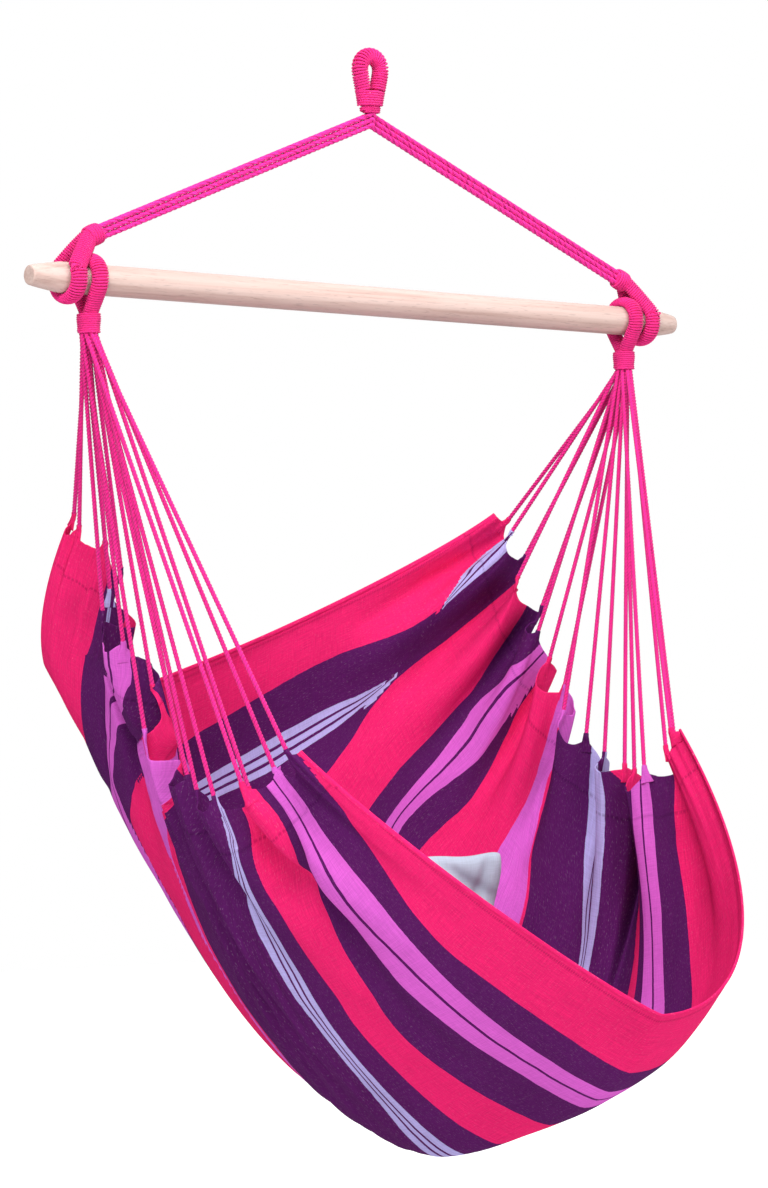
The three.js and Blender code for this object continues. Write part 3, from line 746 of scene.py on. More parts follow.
# Cotton swells past the size that the solids give it, most where it lies in a bundle
cord_shown_radius = 3.25
cord_shown_diameter = 5.8
leg_shown_stack = 3.75
leg_shown_depth = 5.2


def twisted_cord(node, body, stuff, route, diameter, before, after, step, radius, pitch, **form):
    """A cord that runs a little into what lies before and after its route."""
    direction = unit(route[-1] - route[0])
    shown = resample([route[0] - direction * before, route[-1] + direction * after], step)
    piece = tube_piece(f"{node}_twist", [twisted_rings(shown, radius, pitch, **form)], stuff)
    declare_cord(piece, body, node)
    return route[-1], direction


cord_ends = {}
for side_name, side in SIDES:
    slots = cord_slots(side)
    for order in range(seat_cord_count):
        cord_ends[side, order] = twisted_cord(
            f"{side_name}_seat_cord_{order + 1}", "seat", seat_cord_stuff,
            seat_cord_route(side, order, slots), cord_shown_diameter,
            before=2.0, after=0.0, step=1.35, radius=cord_shown_radius,
            pitch=14.0 + 0.4 * (order % 5), sides=12, share=0.60, turn=order * 1.7,
        )
    for order in range(3):
        twisted_cord(
            f"{side_name}_leg_cord_{order + 1}", "legs", leg_cord_stuff,
            leg_cord_route(side, order), leg_cord_diameter,
            before=1.5, after=1.5, step=1.7, radius=leg_shown_stack,
            pitch=34.0 + 2.5 * order, strands=4, sides=24, share=0.55,
            turn=order * 2.1 + side, stretch=leg_shown_depth / leg_shown_stack,
        )


# Hanging eye and neck
wound_reach = (eye_core_radius + wind_gap + wind_diameter / 2) / math.cos(math.pi / 10)
arch_radius = eye_opening_width / 2 + wound_reach + wind_diameter / 2
arch_z = -eye_opening_width / 2
foot_out = eye_neck_width / 2 - eye_core_radius
waist_out = arch_radius - eye_waist_draw_in


def side_out(z):
    """How far out each side of the eye lies at a height."""
    share = min((-z - eye_waist_drop) / (eye_foot_drop - eye_waist_drop), 1)
    return waist_out + (foot_out - waist_out) * share


def eye_path(foot_z):
    """The bundle's line: up the eye's left side from a height, over and down the right."""
    left = [(-side_out(z), 0, z) for z in np.linspace(foot_z, -eye_waist_drop, 5)]
    right = [(-x, y, z) for x, y, z in reversed(left)]
    arch = [
        (arch_radius * math.cos(angle), 0, arch_z + arch_radius * math.sin(angle))
        for angle in np.linspace(math.pi, 0, 13)
    ]
    return left + arch + right


# The winding is drawn a little outside the bundle that it holds
eye_wire = 1.55
eye_swell = eye_core_radius + 0.55
eye_turns_foot_z = -35.5
neck_turns_top_z = -37.2
neck_rod_rises = (13, 7, 0)
neck_z = -eye_neck_bottom
throat_swell = 5.2
throat_turns_swell = 6
throat_half_depth = 7.4
throat_turns_half_depth = 7.8
throat_narrow_share = 0.86

wound_piece(
    "hanging_eye_core", "eye", "hanging_eye_bundle",
    bundle_rings(
        smooth_path(eye_path(neck_z + 4), 1.5), ACROSS_BAR, eye_core_radius, eye_core_radius),
    bundle_rings(
        plumb(*[neck_z + rise for rise in neck_rod_rises]), ALONG_BAR,
        eye_neck_width / 2, eye_neck_depth / 2, 28),
)
wound_piece("hanging_eye_turns", "eye", "eye_winding", winding_rings(
    smooth_path(eye_path(eye_turns_foot_z), 1.0), ACROSS_BAR, eye_swell, eye_swell,
    eye_wire, pitch=3.7))
neck_line = resample(plumb(neck_turns_top_z, neck_z + 1.4), 0.5)
neck_wide = np.array([side_out(max(z, neck_z)) + eye_core_radius for z in neck_line[:, 2]])
wound_piece("hanging_eye_neck_turns", "eye", "eye_neck_winding", winding_rings(
    neck_line, ALONG_BAR, neck_wide + 0.6, eye_neck_depth / 2 + 0.8,
    eye_wire, pitch=3.3, steps=32, square=0.8))

throat_line = resample(plumb(throat_top_z - 0.1, throat_bottom_z), 0.5)
narrow = np.interp(
    throat_line[:, 2], [throat_bottom_z, throat_top_z], [throat_narrow_share, 1.0])
wound_piece("throat_core", "throat", "throat_bundle", bundle_rings(
    throat_line, ALONG_BAR, foot_out * narrow + throat_swell, throat_half_depth * narrow, 28))
narrow = narrow[2:-2]
wound_piece("throat_turns", "throat", "throat_winding", winding_rings(
    throat_line[2:-2], ALONG_BAR, foot_out * narrow + throat_turns_swell,
    throat_turns_half_depth * narrow, wire=1.3, pitch=2.7, steps=32, square=0.85))

# The bend where each cord of one leg goes over into the other leg, three thin cords for each
bend_cord_apart = 4.6
bend_cord_radius = 3.3
bend_drop = np.array([0, 0, -0.4])
bends = []
for order in range(3):
    middle = np.array([0, 0, fork_z + (order - 1) * leg_cord_step * 1.02 + 0.8])
    tips, shoulders = [], []
    for _, side in SIDES:
        first, second = leg_cord_route(side, order)[:2]
        tips.append(first + unit(second - first) * 0.1)
        shoulders.append(first * 0.45 + middle * 0.55 + bend_drop)
    points = np.array([tips[0], shoulders[0], middle, shoulders[1], tips[1]])
    for y in (-bend_cord_apart, 0.0, bend_cord_apart):
        apart = np.outer(np.sin(np.linspace(0, math.pi, 5)), [0, y, 0])
        path = smooth_path(points + apart, 1.2)
        bends.append(twisted_rings(path, bend_cord_radius, pitch=22.0, turn=order + y))
bend = tube_piece("leg_cord_bend", bends, leg_cord_stuff)
place_piece(bend, "fork", "cord", "leg_cord_fork")


# Loops round the bar
LOOP_SPAN = math.radians(122)    # how far round the bar it bears, each way from the far side
LOOP_RUN_IN = 9                  # how far its ends run into their whipping
LOOP_WIDE, LOOP_WIDENING = 8.2, 1.4
LOOP_DEEP, LOOP_DEEPENING = 4.6, 0.4
LOOP_EASE = 34                   # the run over which it comes to its full size
leg_loop_spread = 4.6
seat_loop_spread = 5.0
seat_apex_z = bar_z - 42
seat_whipping_top_z = bar_z - 44.5


def loop_path(place, apex, spread, run):
    """A bundle's line: from the apex over the bar's front, round it and back to the apex."""
    centre = np.array([place, 0, bar_z])
    up = math.copysign(1.0, apex[2] - bar_z)
    arc = [
        centre + ring_radius * np.array([0, -math.sin(angle), up * math.cos(angle)])
        for angle in np.linspace(math.pi - LOOP_SPAN, math.pi + LOOP_SPAN, 25)
    ]
    inner = apex + np.asarray(run, float) * LOOP_RUN_IN
    apart = np.array([0, spread, 0])
    return [inner - apart, apex - apart, *arc, apex + apart, inner + apart]


def loop_piece(name, path, node, body):
    """A loop of flat wound rope, a little slimmer where it enters its whipping."""
    step = 1.2
    line = smooth_path(path, step)
    order = np.arange(len(line))
    ease = eased(np.clip(np.minimum(order, order[::-1]) * step / LOOP_EASE, 0, 1))
    size = LOOP_WIDE + LOOP_WIDENING * ease, LOOP_DEEP + LOOP_DEEPENING * ease
    wound_piece(
        name, body, node, bundle_rings(line, ALONG_BAR, *size),
        winding_rings(line, ALONG_BAR, *size, wire=1.45, pitch=3.35, steps=28, start=0.9),
    )


def whipping_piece(name, body, node, line, hint, swell, wire, pitch, steps):
    """A round bundle of cords under its winding."""
    wound_piece(
        name, body, node, bundle_rings(line, hint, swell, swell, 24),
        winding_rings(line, hint, swell, swell, wire, pitch, steps=steps),
    )


for side_name, side in SIDES:
    along = leg_direction(side)
    collar_end = np.array([side * collar_x, 0, collar_z])
    collar_start = collar_end + along * collar_length
    path = loop_path(side * leg_ring_place, collar_start, leg_loop_spread, -along)
    loop_piece(f"{side_name}_leg_loop_rope", path, f"{side_name}_leg_loop", "legs")
    line = resample([collar_start - along * 0.4, collar_end + along * 0.2], 0.6)
    swell = 10.2 + 0.9 * np.sin(np.linspace(0, math.pi, len(line)))
    whipping_piece(
        f"{side_name}_collar_turns", "legs", f"{side_name}_collar_winding",
        line, ACROSS_BAR, swell, wire=1.75, pitch=3.7, steps=28)

    place = side * seat_ring_place
    path = loop_path(place, np.array([place, 0, seat_apex_z]), seat_loop_spread, (0, 0, -1))
    loop_piece(f"{side_name}_seat_loop_rope", path, f"{side_name}_seat_loop", "seat")
    line = resample(plumb(seat_whipping_top_z, seat_neck_z + 0.2, x=place), 0.6)
    swell = seat_neck_diameter / 2 - 0.3 + 0.5 * np.sin(np.linspace(0, TURN, len(line)))
    whipping_piece(
        f"{side_name}_seat_throat_turns", "seat", f"{side_name}_seat_winding",
        line, ALONG_BAR, swell, wire=1.35, pitch=2.85, steps=30)


# The bar
def turned_bar():
    """The bar: a rounded rim at each end, a taper and a straight middle."""
    half = bar_length / 2
    rim = 2.6
    profile = [(half, 0.4), (half, bar_end_radius * 0.55), (half, bar_end_radius - rim)]
    for angle in np.linspace(0, math.pi / 2, 7)[1:]:
        inward, under = rim * (1 - math.cos(angle)), rim * (1 - math.sin(angle))
        profile.append((half - inward, bar_end_radius - under))
    for t in np.linspace(0, 1, 11)[1:]:
        radius = bar_end_radius + (bar_radius - bar_end_radius) * t ** 0.85
        profile.append((half - rim - (bar_taper_length - rim) * t, radius))
    profile += [(x, bar_radius) for x in np.linspace(half - bar_taper_length - 6, 0, 24)[:-1]]
    x, radius = np.array([(-x, r) for x, r in profile] + profile[::-1]).T[..., None]
    angles = circle(72)[::-1]
    rings = np.broadcast_arrays(x, radius * np.cos(angles), bar_z + radius * np.sin(angles))
    return tube_piece("spreader_bar_wood", [np.stack(rings, axis=-1)], wood_stuff)


place_piece(turned_bar(), "bar", "bar", "spreader_bar")


# The cloth
TIE_ROWS = 26            # rows of the cloth's grid for each cord tied to it
GRID_COLUMNS = 250
COLUMN_CROWDING = 0.6    # how much closer the columns lie at both ends
CLOTH_THICKNESS = 1.3
FOLD_STRETCH = (6, 15)   # cloth squeezed this much starts to go into a fold, and is all gone
LOST_STEP = 0.023        # metres of cloth in one cell that hide its stripes

# Both ends are bunched unevenly, so the stripes wander off their even places there and part
# of the cloth is lost in folds. The marks are places across the flat cloth in thousandths of
# its width. Each row gives a run in millimetres from the end, then where they lie there.
LEFT_MARKS = [
    0, 81, 122, 300, 333, 373.7, 403.6, 491.2, 526.5,
    609, 645, 683.5, 743.4, 803.3, 854.6, 901.6, 1000,
]
LEFT_MARK_PLACES = np.array([
    [0, 0, 165, 262, 296, 345, 388, 440, 486, 560, 738, 748, 768, 862, 880, 920, 990, 1000],
    [50, 0, 167, 260, 292, 345, 381, 430, 485, 540, 730, 738, 759, 866, 878, 916, 984, 1000],
    [100, 0, 171, 252, 274, 300, 352, 402, 428, 500, 699, 717, 738, 842, 866, 905, 970, 1000],
    [130, 0, 176, 231, 239, 249, 325, 370, 372, 476, 672, 704, 731, 812, 850, 901, 953, 1000],
    [160, 0, 172, 216, 224, 232, 293, 340, 342, 448, 648, 694, 727, 787, 834, 897, 940, 1000],
    [205, 0, 161, 203, 211, 219, 256, 298, 300, 402, 638, 683, 716, 771, 812, 891, 925, 1000],
    [240, 0, 153, 194, 202, 210, 238, 287, 290, 370, 638, 674, 708, 760, 802, 884, 915, 1000],
    [280, 0, 143, 189, 197, 205, 226, 275, 298, 351, 638, 668, 701, 750, 796, 876, 907, 1000],
    [320, 0, 128, 186, 194, 203, 217, 259, 319, 338, 639, 662, 696, 741, 791, 868, 901.6, 1000],
    [360, 0, 111, 170, 178, 188, 238, 247, 332, 336.5, 643, 659, 689, 730, 791, 861, 901.6, 1000],
    [400, 0, 97, 149, 157, 168, 263, 266, 345, 350, 644, 658, 687, 724, 792, 857, 901.6, 1000],
    [450, 0, 86, 140, 150, 162, 281, 284, 362, 375, 643, 658, 687, 723, 793, 854.6, 901.6, 1000],
    [500, 0, 81, 134, 165, 180, 313, 318, 402, 410, 640, 657, 687, 727, 796, 854.6, 901.6, 1000],
    [600, 0, 81, 126, 232, 256, 350, 370, 450, 468, 627, 652, 686, 736, 801, 854.6, 901.6, 1000],
    [740, *LEFT_MARKS],
])
RIGHT_MARKS = [
    0, 81.3, 124, 160, 211.3, 292.6, 331, 373.8, 403.8, 491,
    523.5, 527.8, 609, 645, 683.5, 743.4, 803.3, 854.6, 901.6, 1000,
]
RIGHT_MARK_PLACES = np.array([
    [0, 0, 50, 52, 115, 160, 235, 335, 347, 349, 434,
     515, 518, 565, 650, 656, 752, 775, 797, 835, 1000],
    [50, 0, 56, 58, 110, 160, 235, 312, 338, 340, 434,
     490, 494, 565, 651, 700, 747, 765, 794, 826, 1000],
    [100, 0, 82, 84, 105, 157, 237, 277, 331, 333, 437,
     452, 457, 571, 649, 713, 740, 758, 789, 819, 1000],
    [150, 0, 103, 105, 108, 154, 244, 259, 326, 336, 440,
     447, 463, 579, 646, 715, 738, 755, 785, 820, 1000],
    [200, 0, 101, 125, 127, 150, 242, 263, 321, 342, 435,
     465, 488, 597, 645, 719, 739, 753, 785, 826, 1000],
    [250, 0, 88, 145, 147, 150, 242, 268, 307, 343, 429,
     503, 508, 622, 642, 728, 740, 752, 785, 832, 1000],
    [300, 0, 74, 141, 154, 159, 242, 270, 296, 334, 434,
     511, 516, 630, 642, 729, 741, 753, 790, 842, 1000],
    [350, 0, 68, 131, 156, 175, 248, 275, 295, 330, 449,
     514, 518, 629, 643, 730, 742, 757, 802, 857, 1000],
    [420, 0, 68, 125, 155, 191, 262, 291, 322, 353, 465,
     517, 521, 621, 644, 722, 744, 773, 824, 875, 1000],
    [520, 0, 73, 122, 156, 204, 281, 314, 352, 384, 481,
     520, 524, 612, 645, 694, 744, 791, 845, 893, 1000],
    [680, *RIGHT_MARKS],
])
# Deep pockets between two cords, open towards the hem: place, half width, depth, reach, way
LEFT_POCKET = (0.294, 0.029, 74, 190, (1.0, 0.35, -0.2))
RIGHT_POCKET = (0.7055, 0.0294, 85, 300, (0.62, 0.79, 0.0))
# Creases where cloth is lost at the left end: mark before it, depth, length, half width
LEFT_CREASES = ((2, 9.0, 420, 0.012), (6, 8.0, 300, 0.012), (12, 19.0, 520, 0.017))
# How far the left side's outline is drawn in, by height: z and millimetres
LEFT_DRAW_IN = np.array([
    [-1260, 0], [-1181, 7], [-1100, 17], [-992, 26], [-912, 24], [-858, 12], [-810, 0], [-760, 0],
])
# The arcs of each end's edge between cords: mean depth, its spread, and how it varies
LEFT_ARCS = (17, 7, 2.4, 0.6)
RIGHT_ARCS = (18, 8, 1.9, 2.2)
OUTER_ARC = 9


def mark_curve(table, k, run):
    """Where stripe mark k of a table lies at each point's run from its end."""
    runs, places = table[:, 0], table[:, k + 1] / 1000
    at = np.minimum(run, runs[-1])
    i = np.clip(np.searchsorted(runs, at, side="right") - 1, 0, len(runs) - 2)
    slopes = np.gradient(places, runs)
    span = runs[i + 1] - runs[i]
    t = np.clip((at - runs[i]) / span, 0, 1)
    return hermite(t, span, places[i], places[i + 1], slopes[i], slopes[i + 1])


def stripe_drift(marks, table, v, run):
    """How far the stripe at each point of the grid is off its even place, as a share.

    Where cloth goes into a fold, the stripe before it runs on over the fold's mouth.
    """
    marks = np.array(marks) / 1000
    places = np.zeros_like(run)
    low = mark_curve(table, 0, run)
    for k in range(len(marks) - 1):
        high = mark_curve(table, k + 1, run)
        width = np.maximum(high - low, 0.0005)
        taken = marks[k + 1] - marks[k]
        stretch = taken / width
        gone = np.clip((stretch - FOLD_STRETCH[0]) / (FOLD_STRETCH[1] - FOLD_STRETCH[0]), 0, 1)
        share = np.clip(((v - low) / width - gone) / np.maximum(1 - gone, 1e-6), 0, 1)
        before = marks[k] - 0.0006
        place = np.where((gone > 0) & (share <= 0), before, marks[k] + share * taken)
        places = np.where(v >= low, place, places)
        low = high
    return places - v


def arc_depth(tie, arcs):
    """How far the end's edge hangs back in an arc between two cords."""
    mean, spread, pace, start = arcs
    gap = np.clip(np.ceil(tie).astype(int), 0, seat_cord_count)
    outer = (gap == 0) | (gap == seat_cord_count)
    off = np.abs(tie - np.round(tie))
    depth = np.where(outer, OUTER_ARC, mean + spread * np.sin(gap * pace + start))
    return depth * (1 - (1 - 2 * off) ** 2)


def plain_cloth(across, tie):
    """The cloth's plain hang on a grid, each point's share along it, and the lines' lengths."""
    lines = [warp_line(v, 400) for v in across]
    totals = np.array([lengths[-1] for _, lengths in lines])
    share = np.linspace(0, 1, GRID_COLUMNS)
    share = share - COLUMN_CROWDING / TURN * np.sin(TURN * share)
    trim_left, trim_right = [arc_depth(tie, arcs) / totals for arcs in (LEFT_ARCS, RIGHT_ARCS)]
    u = trim_left[:, None] + (1 - trim_left - trim_right)[:, None] * share[None, :]
    base = np.array([
        look_up(u[i] * totals[i], lengths, points) for i, (points, lengths) in enumerate(lines)
    ])
    return base, u, totals[:, None]


def draw_in(base, v):
    """The left side's outline drawn in, square to the view."""
    reach = np.interp(base[..., 2], LEFT_DRAW_IN[:, 0], LEFT_DRAW_IN[:, 1])
    reach = reach * np.clip((0.52 - v) / 0.16, 0, 1) * np.clip((-base[..., 0] - 60) / 120, 0, 1)
    return reach[..., None] * np.array([math.cos(VIEW_TURN), -math.sin(VIEW_TURN), 0])


def pleats(v, run_left, run_right):
    """How far the solid cloth's pleats lift it, and slide it sideways."""
    left, right = [
        np.array([smooth_row(table, place) for place in v[:, 0]]).T[..., None]
        for table in (left_pleat_shares, right_pleat_shares)
    ]
    _, place, share = np.where(run_left < run_right, left, right)
    depth = pleat_depth * pleat_fade(v, np.minimum(run_left, run_right)) * share
    return depth * np.cos(TURN * place), depth * pleat_lean_share * np.sin(2 * TURN * place)


def hem_ridges(tie, off, run):
    """Each cord pulls a narrow ridge out of the hem, with fine gathers beside it."""
    sway = 0.5 + 0.5 * np.sin(np.round(tie) * 2.1)[:, None]
    ridge = (3.2 + 2.5 * sway) * (bell(off / 0.13) - 0.28) * np.exp(-run / 85)
    gathers = 1.5 * np.cos(3 * TURN * off + 3 * sway) * np.exp(-run / 55)
    return gathers - ridge


def loose_folds(v, run_left, run_right):
    """Loose lengthwise folds that die out towards the middle, and slight unevenness."""
    run = np.minimum(run_left, run_right)
    shift = np.where(run_left < run_right, 0.0, 1.0)
    place = v * CLOTH_WIDTH
    fine = 1.9 * np.sin(place / 9.5 + 2.2 * np.sin(run_left / 210 + place / 160))
    broad = 2.6 * np.sin(place / 23 + 1.7 * np.sin(run_left / 330 + 1.0) + shift)
    uneven = 1.8 * np.sin(place / 47 + run_left / 260 + 2.0 * np.sin(place / 300))
    uneven = uneven + np.sin(place / 31 - run_left / 95 + 1.4 * np.sin(run_left / 170))
    return fine * np.exp(-run / 190) + broad * np.exp(-run / 330) + uneven


def left_end_folds(v, run):
    """Creases between the lobes of the left end, and long soft folds in the broad stripe."""
    soft = bell((v - 0.545) / 0.075) * bell((run - 230) / 330)
    lift = 6.0 * soft * np.cos(TURN * (v - 0.52 - 0.00009 * run) / 0.047)
    lift = lift + 2.6 * soft * np.cos(TURN * (v + 0.00007 * run) / 0.021)
    for k, deepest, length, half in LEFT_CREASES:
        low, high = [mark_curve(LEFT_MARK_PLACES, mark, run) for mark in (k, k + 1)]
        fading = np.clip(1 - run / length, 0, 1) ** 0.6
        lift = lift - deepest * fading * bell((v - (low + high) / 2) / half)
    return lift


def pocket_shift(pocket, v, run):
    place, half, depth, reach, way = pocket
    share = np.clip(1 - np.abs(v - place) / half, 0, 1)
    share = eased(share) * np.exp(-(run / reach) ** 1.5)
    return depth * share[..., None] * unit(np.array(way))


def draw_tips(points, off, run_left, run_right):
    """The hem's tips drawn out to the ends of the cords."""
    drawn = points.copy()
    half = TIE_ROWS // 2
    for (side, order), (end, direction) in cord_ends.items():
        row = order * TIE_ROWS + half
        run = run_left if side < 0 else run_right
        near = slice(max(row - half, 0), row + half + 1)
        reach = end + direction * 2.0 - points[row, 0 if side < 0 else -1]
        weight = bell(off[near] / 0.17) * np.exp(-run[near] / 26)
        drawn[near] += weight[..., None] * reach
    return drawn


def cloth_grid():
    """Points of the cloth's middle layer on a fine grid, with their uv places."""
    across = np.linspace(0, 1, seat_cord_count * TIE_ROWS + 1)
    v = across[:, None]
    tie = across * seat_cord_count - 0.5
    off = (tie - np.round(tie))[:, None]
    base, u, totals = plain_cloth(across, tie)
    run_left, run_right = u * totals, (1 - u) * totals
    base = base + draw_in(base, v)
    warp = unit(np.gradient(base, axis=1))
    weft = unit(np.gradient(base, axis=0))
    normal = unit(np.cross(warp, weft))
    lift, slide = pleats(v, run_left, run_right)
    folds = hem_ridges(tie, off, np.minimum(run_left, run_right))
    folds = folds + loose_folds(v, run_left, run_right)
    lift = lift + from_selvedge(v, 0.02) * folds + left_end_folds(v, run_left)
    points = base + normal * lift[..., None] + weft * slide[..., None]
    points = points + pocket_shift(LEFT_POCKET, v, run_left)
    points = points + pocket_shift(RIGHT_POCKET, v, run_right)
    flat = v + stripe_drift(LEFT_MARKS, LEFT_MARK_PLACES, v, run_left)
    flat = flat + stripe_drift(RIGHT_MARKS, RIGHT_MARK_PLACES, v, run_right)
    uvs = np.stack([u * CLOTH_LENGTH * MM, flat * CLOTH_WIDTH * MM], axis=-1)
    return draw_tips(points, off, run_left, run_right), uvs


def skin(points, thickness):
    """A closed skin: the upper and lower layers of a grid and the rim that joins them."""
    warp = unit(np.gradient(points, axis=1))
    weft = unit(np.gradient(points, axis=0))
    rise = unit(np.cross(warp, weft)) * thickness / 2
    rows, columns, _ = points.shape
    layers = [(points + rise).reshape(-1, 3), (points - rise).reshape(-1, 3)]
    return np.vstack(layers), closed_faces(rows, columns)


def crisp_across(across, faces):
    """The stripe place at the corners of the skin's quads.

    A quad in which much cloth goes into a fold shows one stripe, not all of them as lines.
    """
    rows, columns = across.shape
    quads = np.array(faces[:2 * (rows - 1) * (columns - 1)])
    corners = across.ravel()[quads % across.size]
    lost = np.ptp(corners, axis=1, keepdims=True) > LOST_STEP
    return np.where(lost, corners.min(axis=1, keepdims=True), corners).ravel()


cloth_points, cloth_uvs = cloth_grid()
points, faces = skin(cloth_points, CLOTH_THICKNESS)
uvs = np.vstack([cloth_uvs.reshape(-1, 2)] * 2)
cloth = mesh_piece(
    "seat_cloth_striped", points, faces, cloth_stuff, uvs, crisp_across(cloth_uvs[..., 1], faces))
place_piece(cloth, "seat", "seat_cloth", "seat_cloth")

# Rolled hems along the two selvedges
HEM_SIDES = 12
HEM_HALF_WIDE, HEM_HALF_DEEP = 3.4, 1.9
HEM_INSET = 1.2                  # how far the roll's middle lies inside the cloth's edge
HEM_UV = 0.002                   # metres from the selvedge whose colour it takes
for name, row, inner_row in (("back", 0, 4), ("front", -1, -5)):
    line = cloth_points[row]
    toward = cloth_points[inner_row] - line
    path = resample(line + unit(toward) * HEM_INSET, 3.0)
    hint = look_up(np.linspace(0, 1, len(path)), np.linspace(0, 1, len(line)), toward)
    rings = bundle_rings(path, unit(hint), HEM_HALF_WIDE, HEM_HALF_DEEP, HEM_SIDES)
    points, faces, _ = tube_parts(rings)
    along = np.repeat(np.linspace(0, CLOTH_LENGTH * MM, len(path)), HEM_SIDES)
    middle = HEM_UV if row == 0 else CLOTH_WIDTH * MM - HEM_UV
    around = middle + 0.0015 * np.tile(np.cos(circle(HEM_SIDES)), len(path))
    uvs = np.stack([along, around], axis=1)
    hem = mesh_piece(f"seat_cloth_{name}_hem", points, faces, cloth_stuff, uvs)
    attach(hem, "seat")

# Each cord runs into a small gathered sleeve at the hem's tip
SLEEVE_REACH = (0, 3, 6, 10)     # columns of the cloth's grid that a sleeve runs over
SLEEVE_SIDES = 20
SLEEVE_HALF = 3.7                # its half size at the cord, and how much it widens and thins
SLEEVE_WIDENING, SLEEVE_THINNING = 5.5, 2.9
CRIMPS = 5
for side_name, side in SIDES:
    points, faces, uvs = [], [], []
    for order in range(seat_cord_count):
        end, direction = cord_ends[side, order]
        row = order * TIE_ROWS + TIE_ROWS // 2
        columns = [k if side < 0 else -1 - k for k in SLEEVE_REACH]
        line = np.vstack([end - direction * 3.0, end, cloth_points[row, columns]])
        path = smooth_path(line, 1.5)
        t = np.linspace(0, 1, len(path))
        across = unit(cloth_points[row + 2, columns[1]] - cloth_points[row - 2, columns[1]])
        wide = SLEEVE_HALF + SLEEVE_WIDENING * t ** 1.5
        deep = SLEEVE_HALF - SLEEVE_THINNING * t ** 0.8
        rings = bundle_rings(path, across, wide, deep, SLEEVE_SIDES)
        crimp = 1 + 0.07 * np.cos(CRIMPS * circle(SLEEVE_SIDES) + order)
        rings = path[:, None] + (rings - path[:, None]) * crimp[None, :, None]
        more_points, more_faces, more_uvs = tube_parts(rings, sum(len(p) for p in points))
        run = more_uvs[:, 0] if side < 0 else CLOTH_LENGTH * MM - more_uvs[:, 0]
        spread = np.outer(wide * MM, np.cos(circle(SLEEVE_SIDES))).ravel()
        points.append(more_points)
        faces += more_faces
        uvs.append(np.stack([run, cloth_uvs[row, columns[0], 1] + spread], axis=1))
    sleeve = mesh_piece(
        f"{side_name}_hem_sleeves", np.vstack(points), faces, cloth_stuff, np.vstack(uvs))
    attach(sleeve, "seat")


# The cushion
CUSHION_EDGE = 0.8               # half thickness of its seam
CUSHION_FILL = 0.46              # half thickness of its crown as a share of the solid's
CUSHION_SPAN = 0.98              # its width and height as shares of the solid's
# Folds that its front shows: depth, slope each way, place and half width
CUSHION_FOLDS = (
    (8.0, 0.8, 0.35, 0.15, 0.10), (9.0, 0.95, -0.25, 0.52, 0.07), (6.0, 0.5, 0.9, 0.98, 0.06),
)


def cushion_layer(u, v, layer):
    """How far one side of the cushion stands out from its middle, wrinkles included."""
    crown = np.sqrt(np.maximum(1 - u ** 4, 0) * np.maximum(1 - v ** 4, 0)) ** 0.9
    crease = np.sin(7 * u + 3.1 * v + layer) * 0.5
    crease = crease + np.sin(4.3 * v - 5.2 * u * v + 2 * layer) * 0.6
    crease = crease + 0.5 * np.sin(11 * v + 4 * np.sin(3 * u + layer))
    crease = crease + 0.35 * np.sin(16 * u + 5 * v * v)
    lift = CUSHION_EDGE + (pillow_thickness * CUSHION_FILL + 2.8 * crease) * crown
    if layer < 0:
        for depth, u_slope, v_slope, place, half in CUSHION_FOLDS:
            lift = lift - depth * bell((u * u_slope + v * v_slope - place) / half) * crown ** 0.6
    return layer * lift


def turned(first, second, angle):
    """Two coordinates turned by an angle in their plane."""
    cos, sin = math.cos(angle), math.sin(angle)
    return first * cos - second * sin, first * sin + second * cos


def cushion():
    count = 65
    u = np.linspace(-1, 1, count)[None, :]
    v = np.linspace(-1, 1, count)[:, None]
    corner = 0.05 * u ** 8 * v ** 8
    drawn_x = 1 - 0.07 * (1 - v * v) - corner + 0.012 * np.sin(9 * v + 1)
    drawn_y = 1 - 0.07 * (1 - u * u) - corner + 0.012 * np.sin(8 * u)
    x = np.tile((u * pillow_width * CUSHION_SPAN * drawn_x / 2).ravel(), 2)
    z = np.tile((v * pillow_height * CUSHION_SPAN * drawn_y / 2).ravel(), 2)
    y = np.concatenate([cushion_layer(u, v, layer).ravel() for layer in (1, -1)])
    y, z = turned(y, z, pillow_lean)
    x, y = turned(x, y, pillow_turn)
    right, back, down = pillow_place
    placed = np.stack([x + right, y + back, z + bar_z - down], axis=1)
    flat = np.stack(np.broadcast_arrays(u * pillow_width, v * pillow_height), axis=-1) / 2 * MM
    uvs = np.tile(flat.reshape(-1, 2), (2, 1))
    return mesh_piece("cushion_pale", placed, closed_faces(count, count), cushion_stuff, uvs)


pale = cushion()
place_piece(pale, "seat", "pillow_cloth", "seat_pillow")


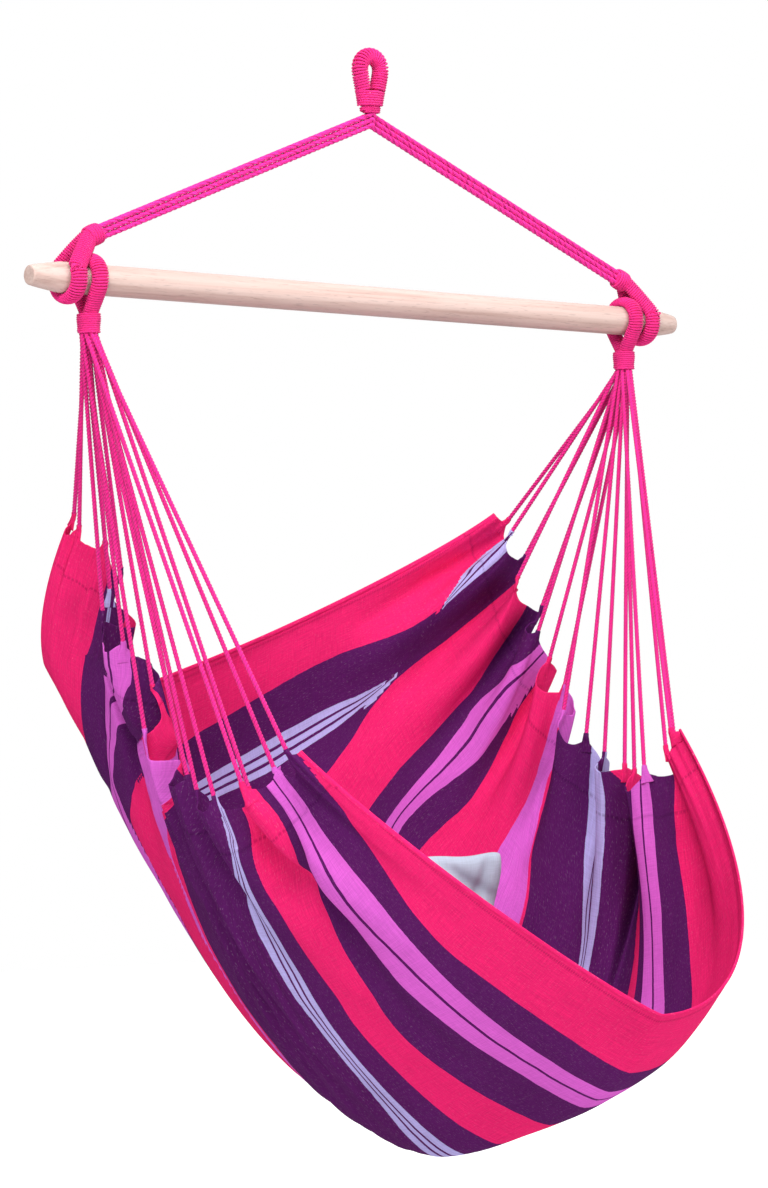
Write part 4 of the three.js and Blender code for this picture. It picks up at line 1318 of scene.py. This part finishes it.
# Floor, light
def white_floor():
    n = Nodes(bpy.data.materials.new("white_floor"))
    n.feed(n.shader, {
        "Base Color": (0.9, 0.9, 0.9, 1), "Roughness": 0.9, "Specular IOR Level": 0.1,
    })
    seen = n.add("ShaderNodeLightPath").outputs["Is Camera Ray"]
    glow = n.add("ShaderNodeEmission", {"Strength": n.times(seen, 0.72)})
    both = n.add("ShaderNodeAddShader", {0: n.shader.outputs[0], 1: glow.outputs[0]})
    n.feed(n.tree.nodes["Material Output"], {"Surface": both.outputs[0]})
    return n.owner


FLOOR_Z = -1900
FLOOR_HALF = 9000
outline = ((-1, -1), (1, -1), (1, 1), (-1, 1))
corners = [(x * FLOOR_HALF, y * FLOOR_HALF, FLOOR_Z) for x, y in outline]
floor = mesh_piece("floor", corners, [(0, 1, 2, 3)], white_floor())

# The backdrop is plain white where it is seen, and lights the chair more softly
studio = Nodes(bpy.data.worlds.new("studio"), "Background")
bpy.context.scene.world = studio.owner
rays = studio.add("ShaderNodeLightPath").outputs
seen = studio.math("MAXIMUM", rays["Is Camera Ray"], rays["Is Glossy Ray"])
seen = studio.math("MAXIMUM", seen, rays["Is Transmission Ray"])
strength = studio.add("ShaderNodeMapRange", {"Value": seen, "To Min": 0.44, "To Max": 1.0})
studio.feed(studio.shader, {"Color": (1, 1, 1, 1), "Strength": strength.outputs[0]})


def lamp(name, place, size, power):
    """A square lamp that points at the chair's middle."""
    data = bpy.data.lights.new(name, "AREA")
    data.shape = "SQUARE"
    data.size = size
    data.energy = power
    lamp_object = bpy.data.objects.new(name, data)
    lamp_object.location = place
    x, y, z = AIM - place
    lamp_object.rotation_euler = (math.atan2(math.hypot(x, y), -z), 0, math.atan2(-x, y))
    bpy.context.scene.collection.objects.link(lamp_object)


# The lamps' places and sizes are in metres
AIM = np.array([0, 0, -0.9])
lamp("key", (-3.6, -3.1, 2.1), 1.7, 228)
lamp("fill", (1.4, -4.2, 0.4), 2.6, 66)
lamp("top", (-0.5, -1.3, 2.8), 2.2, 118)
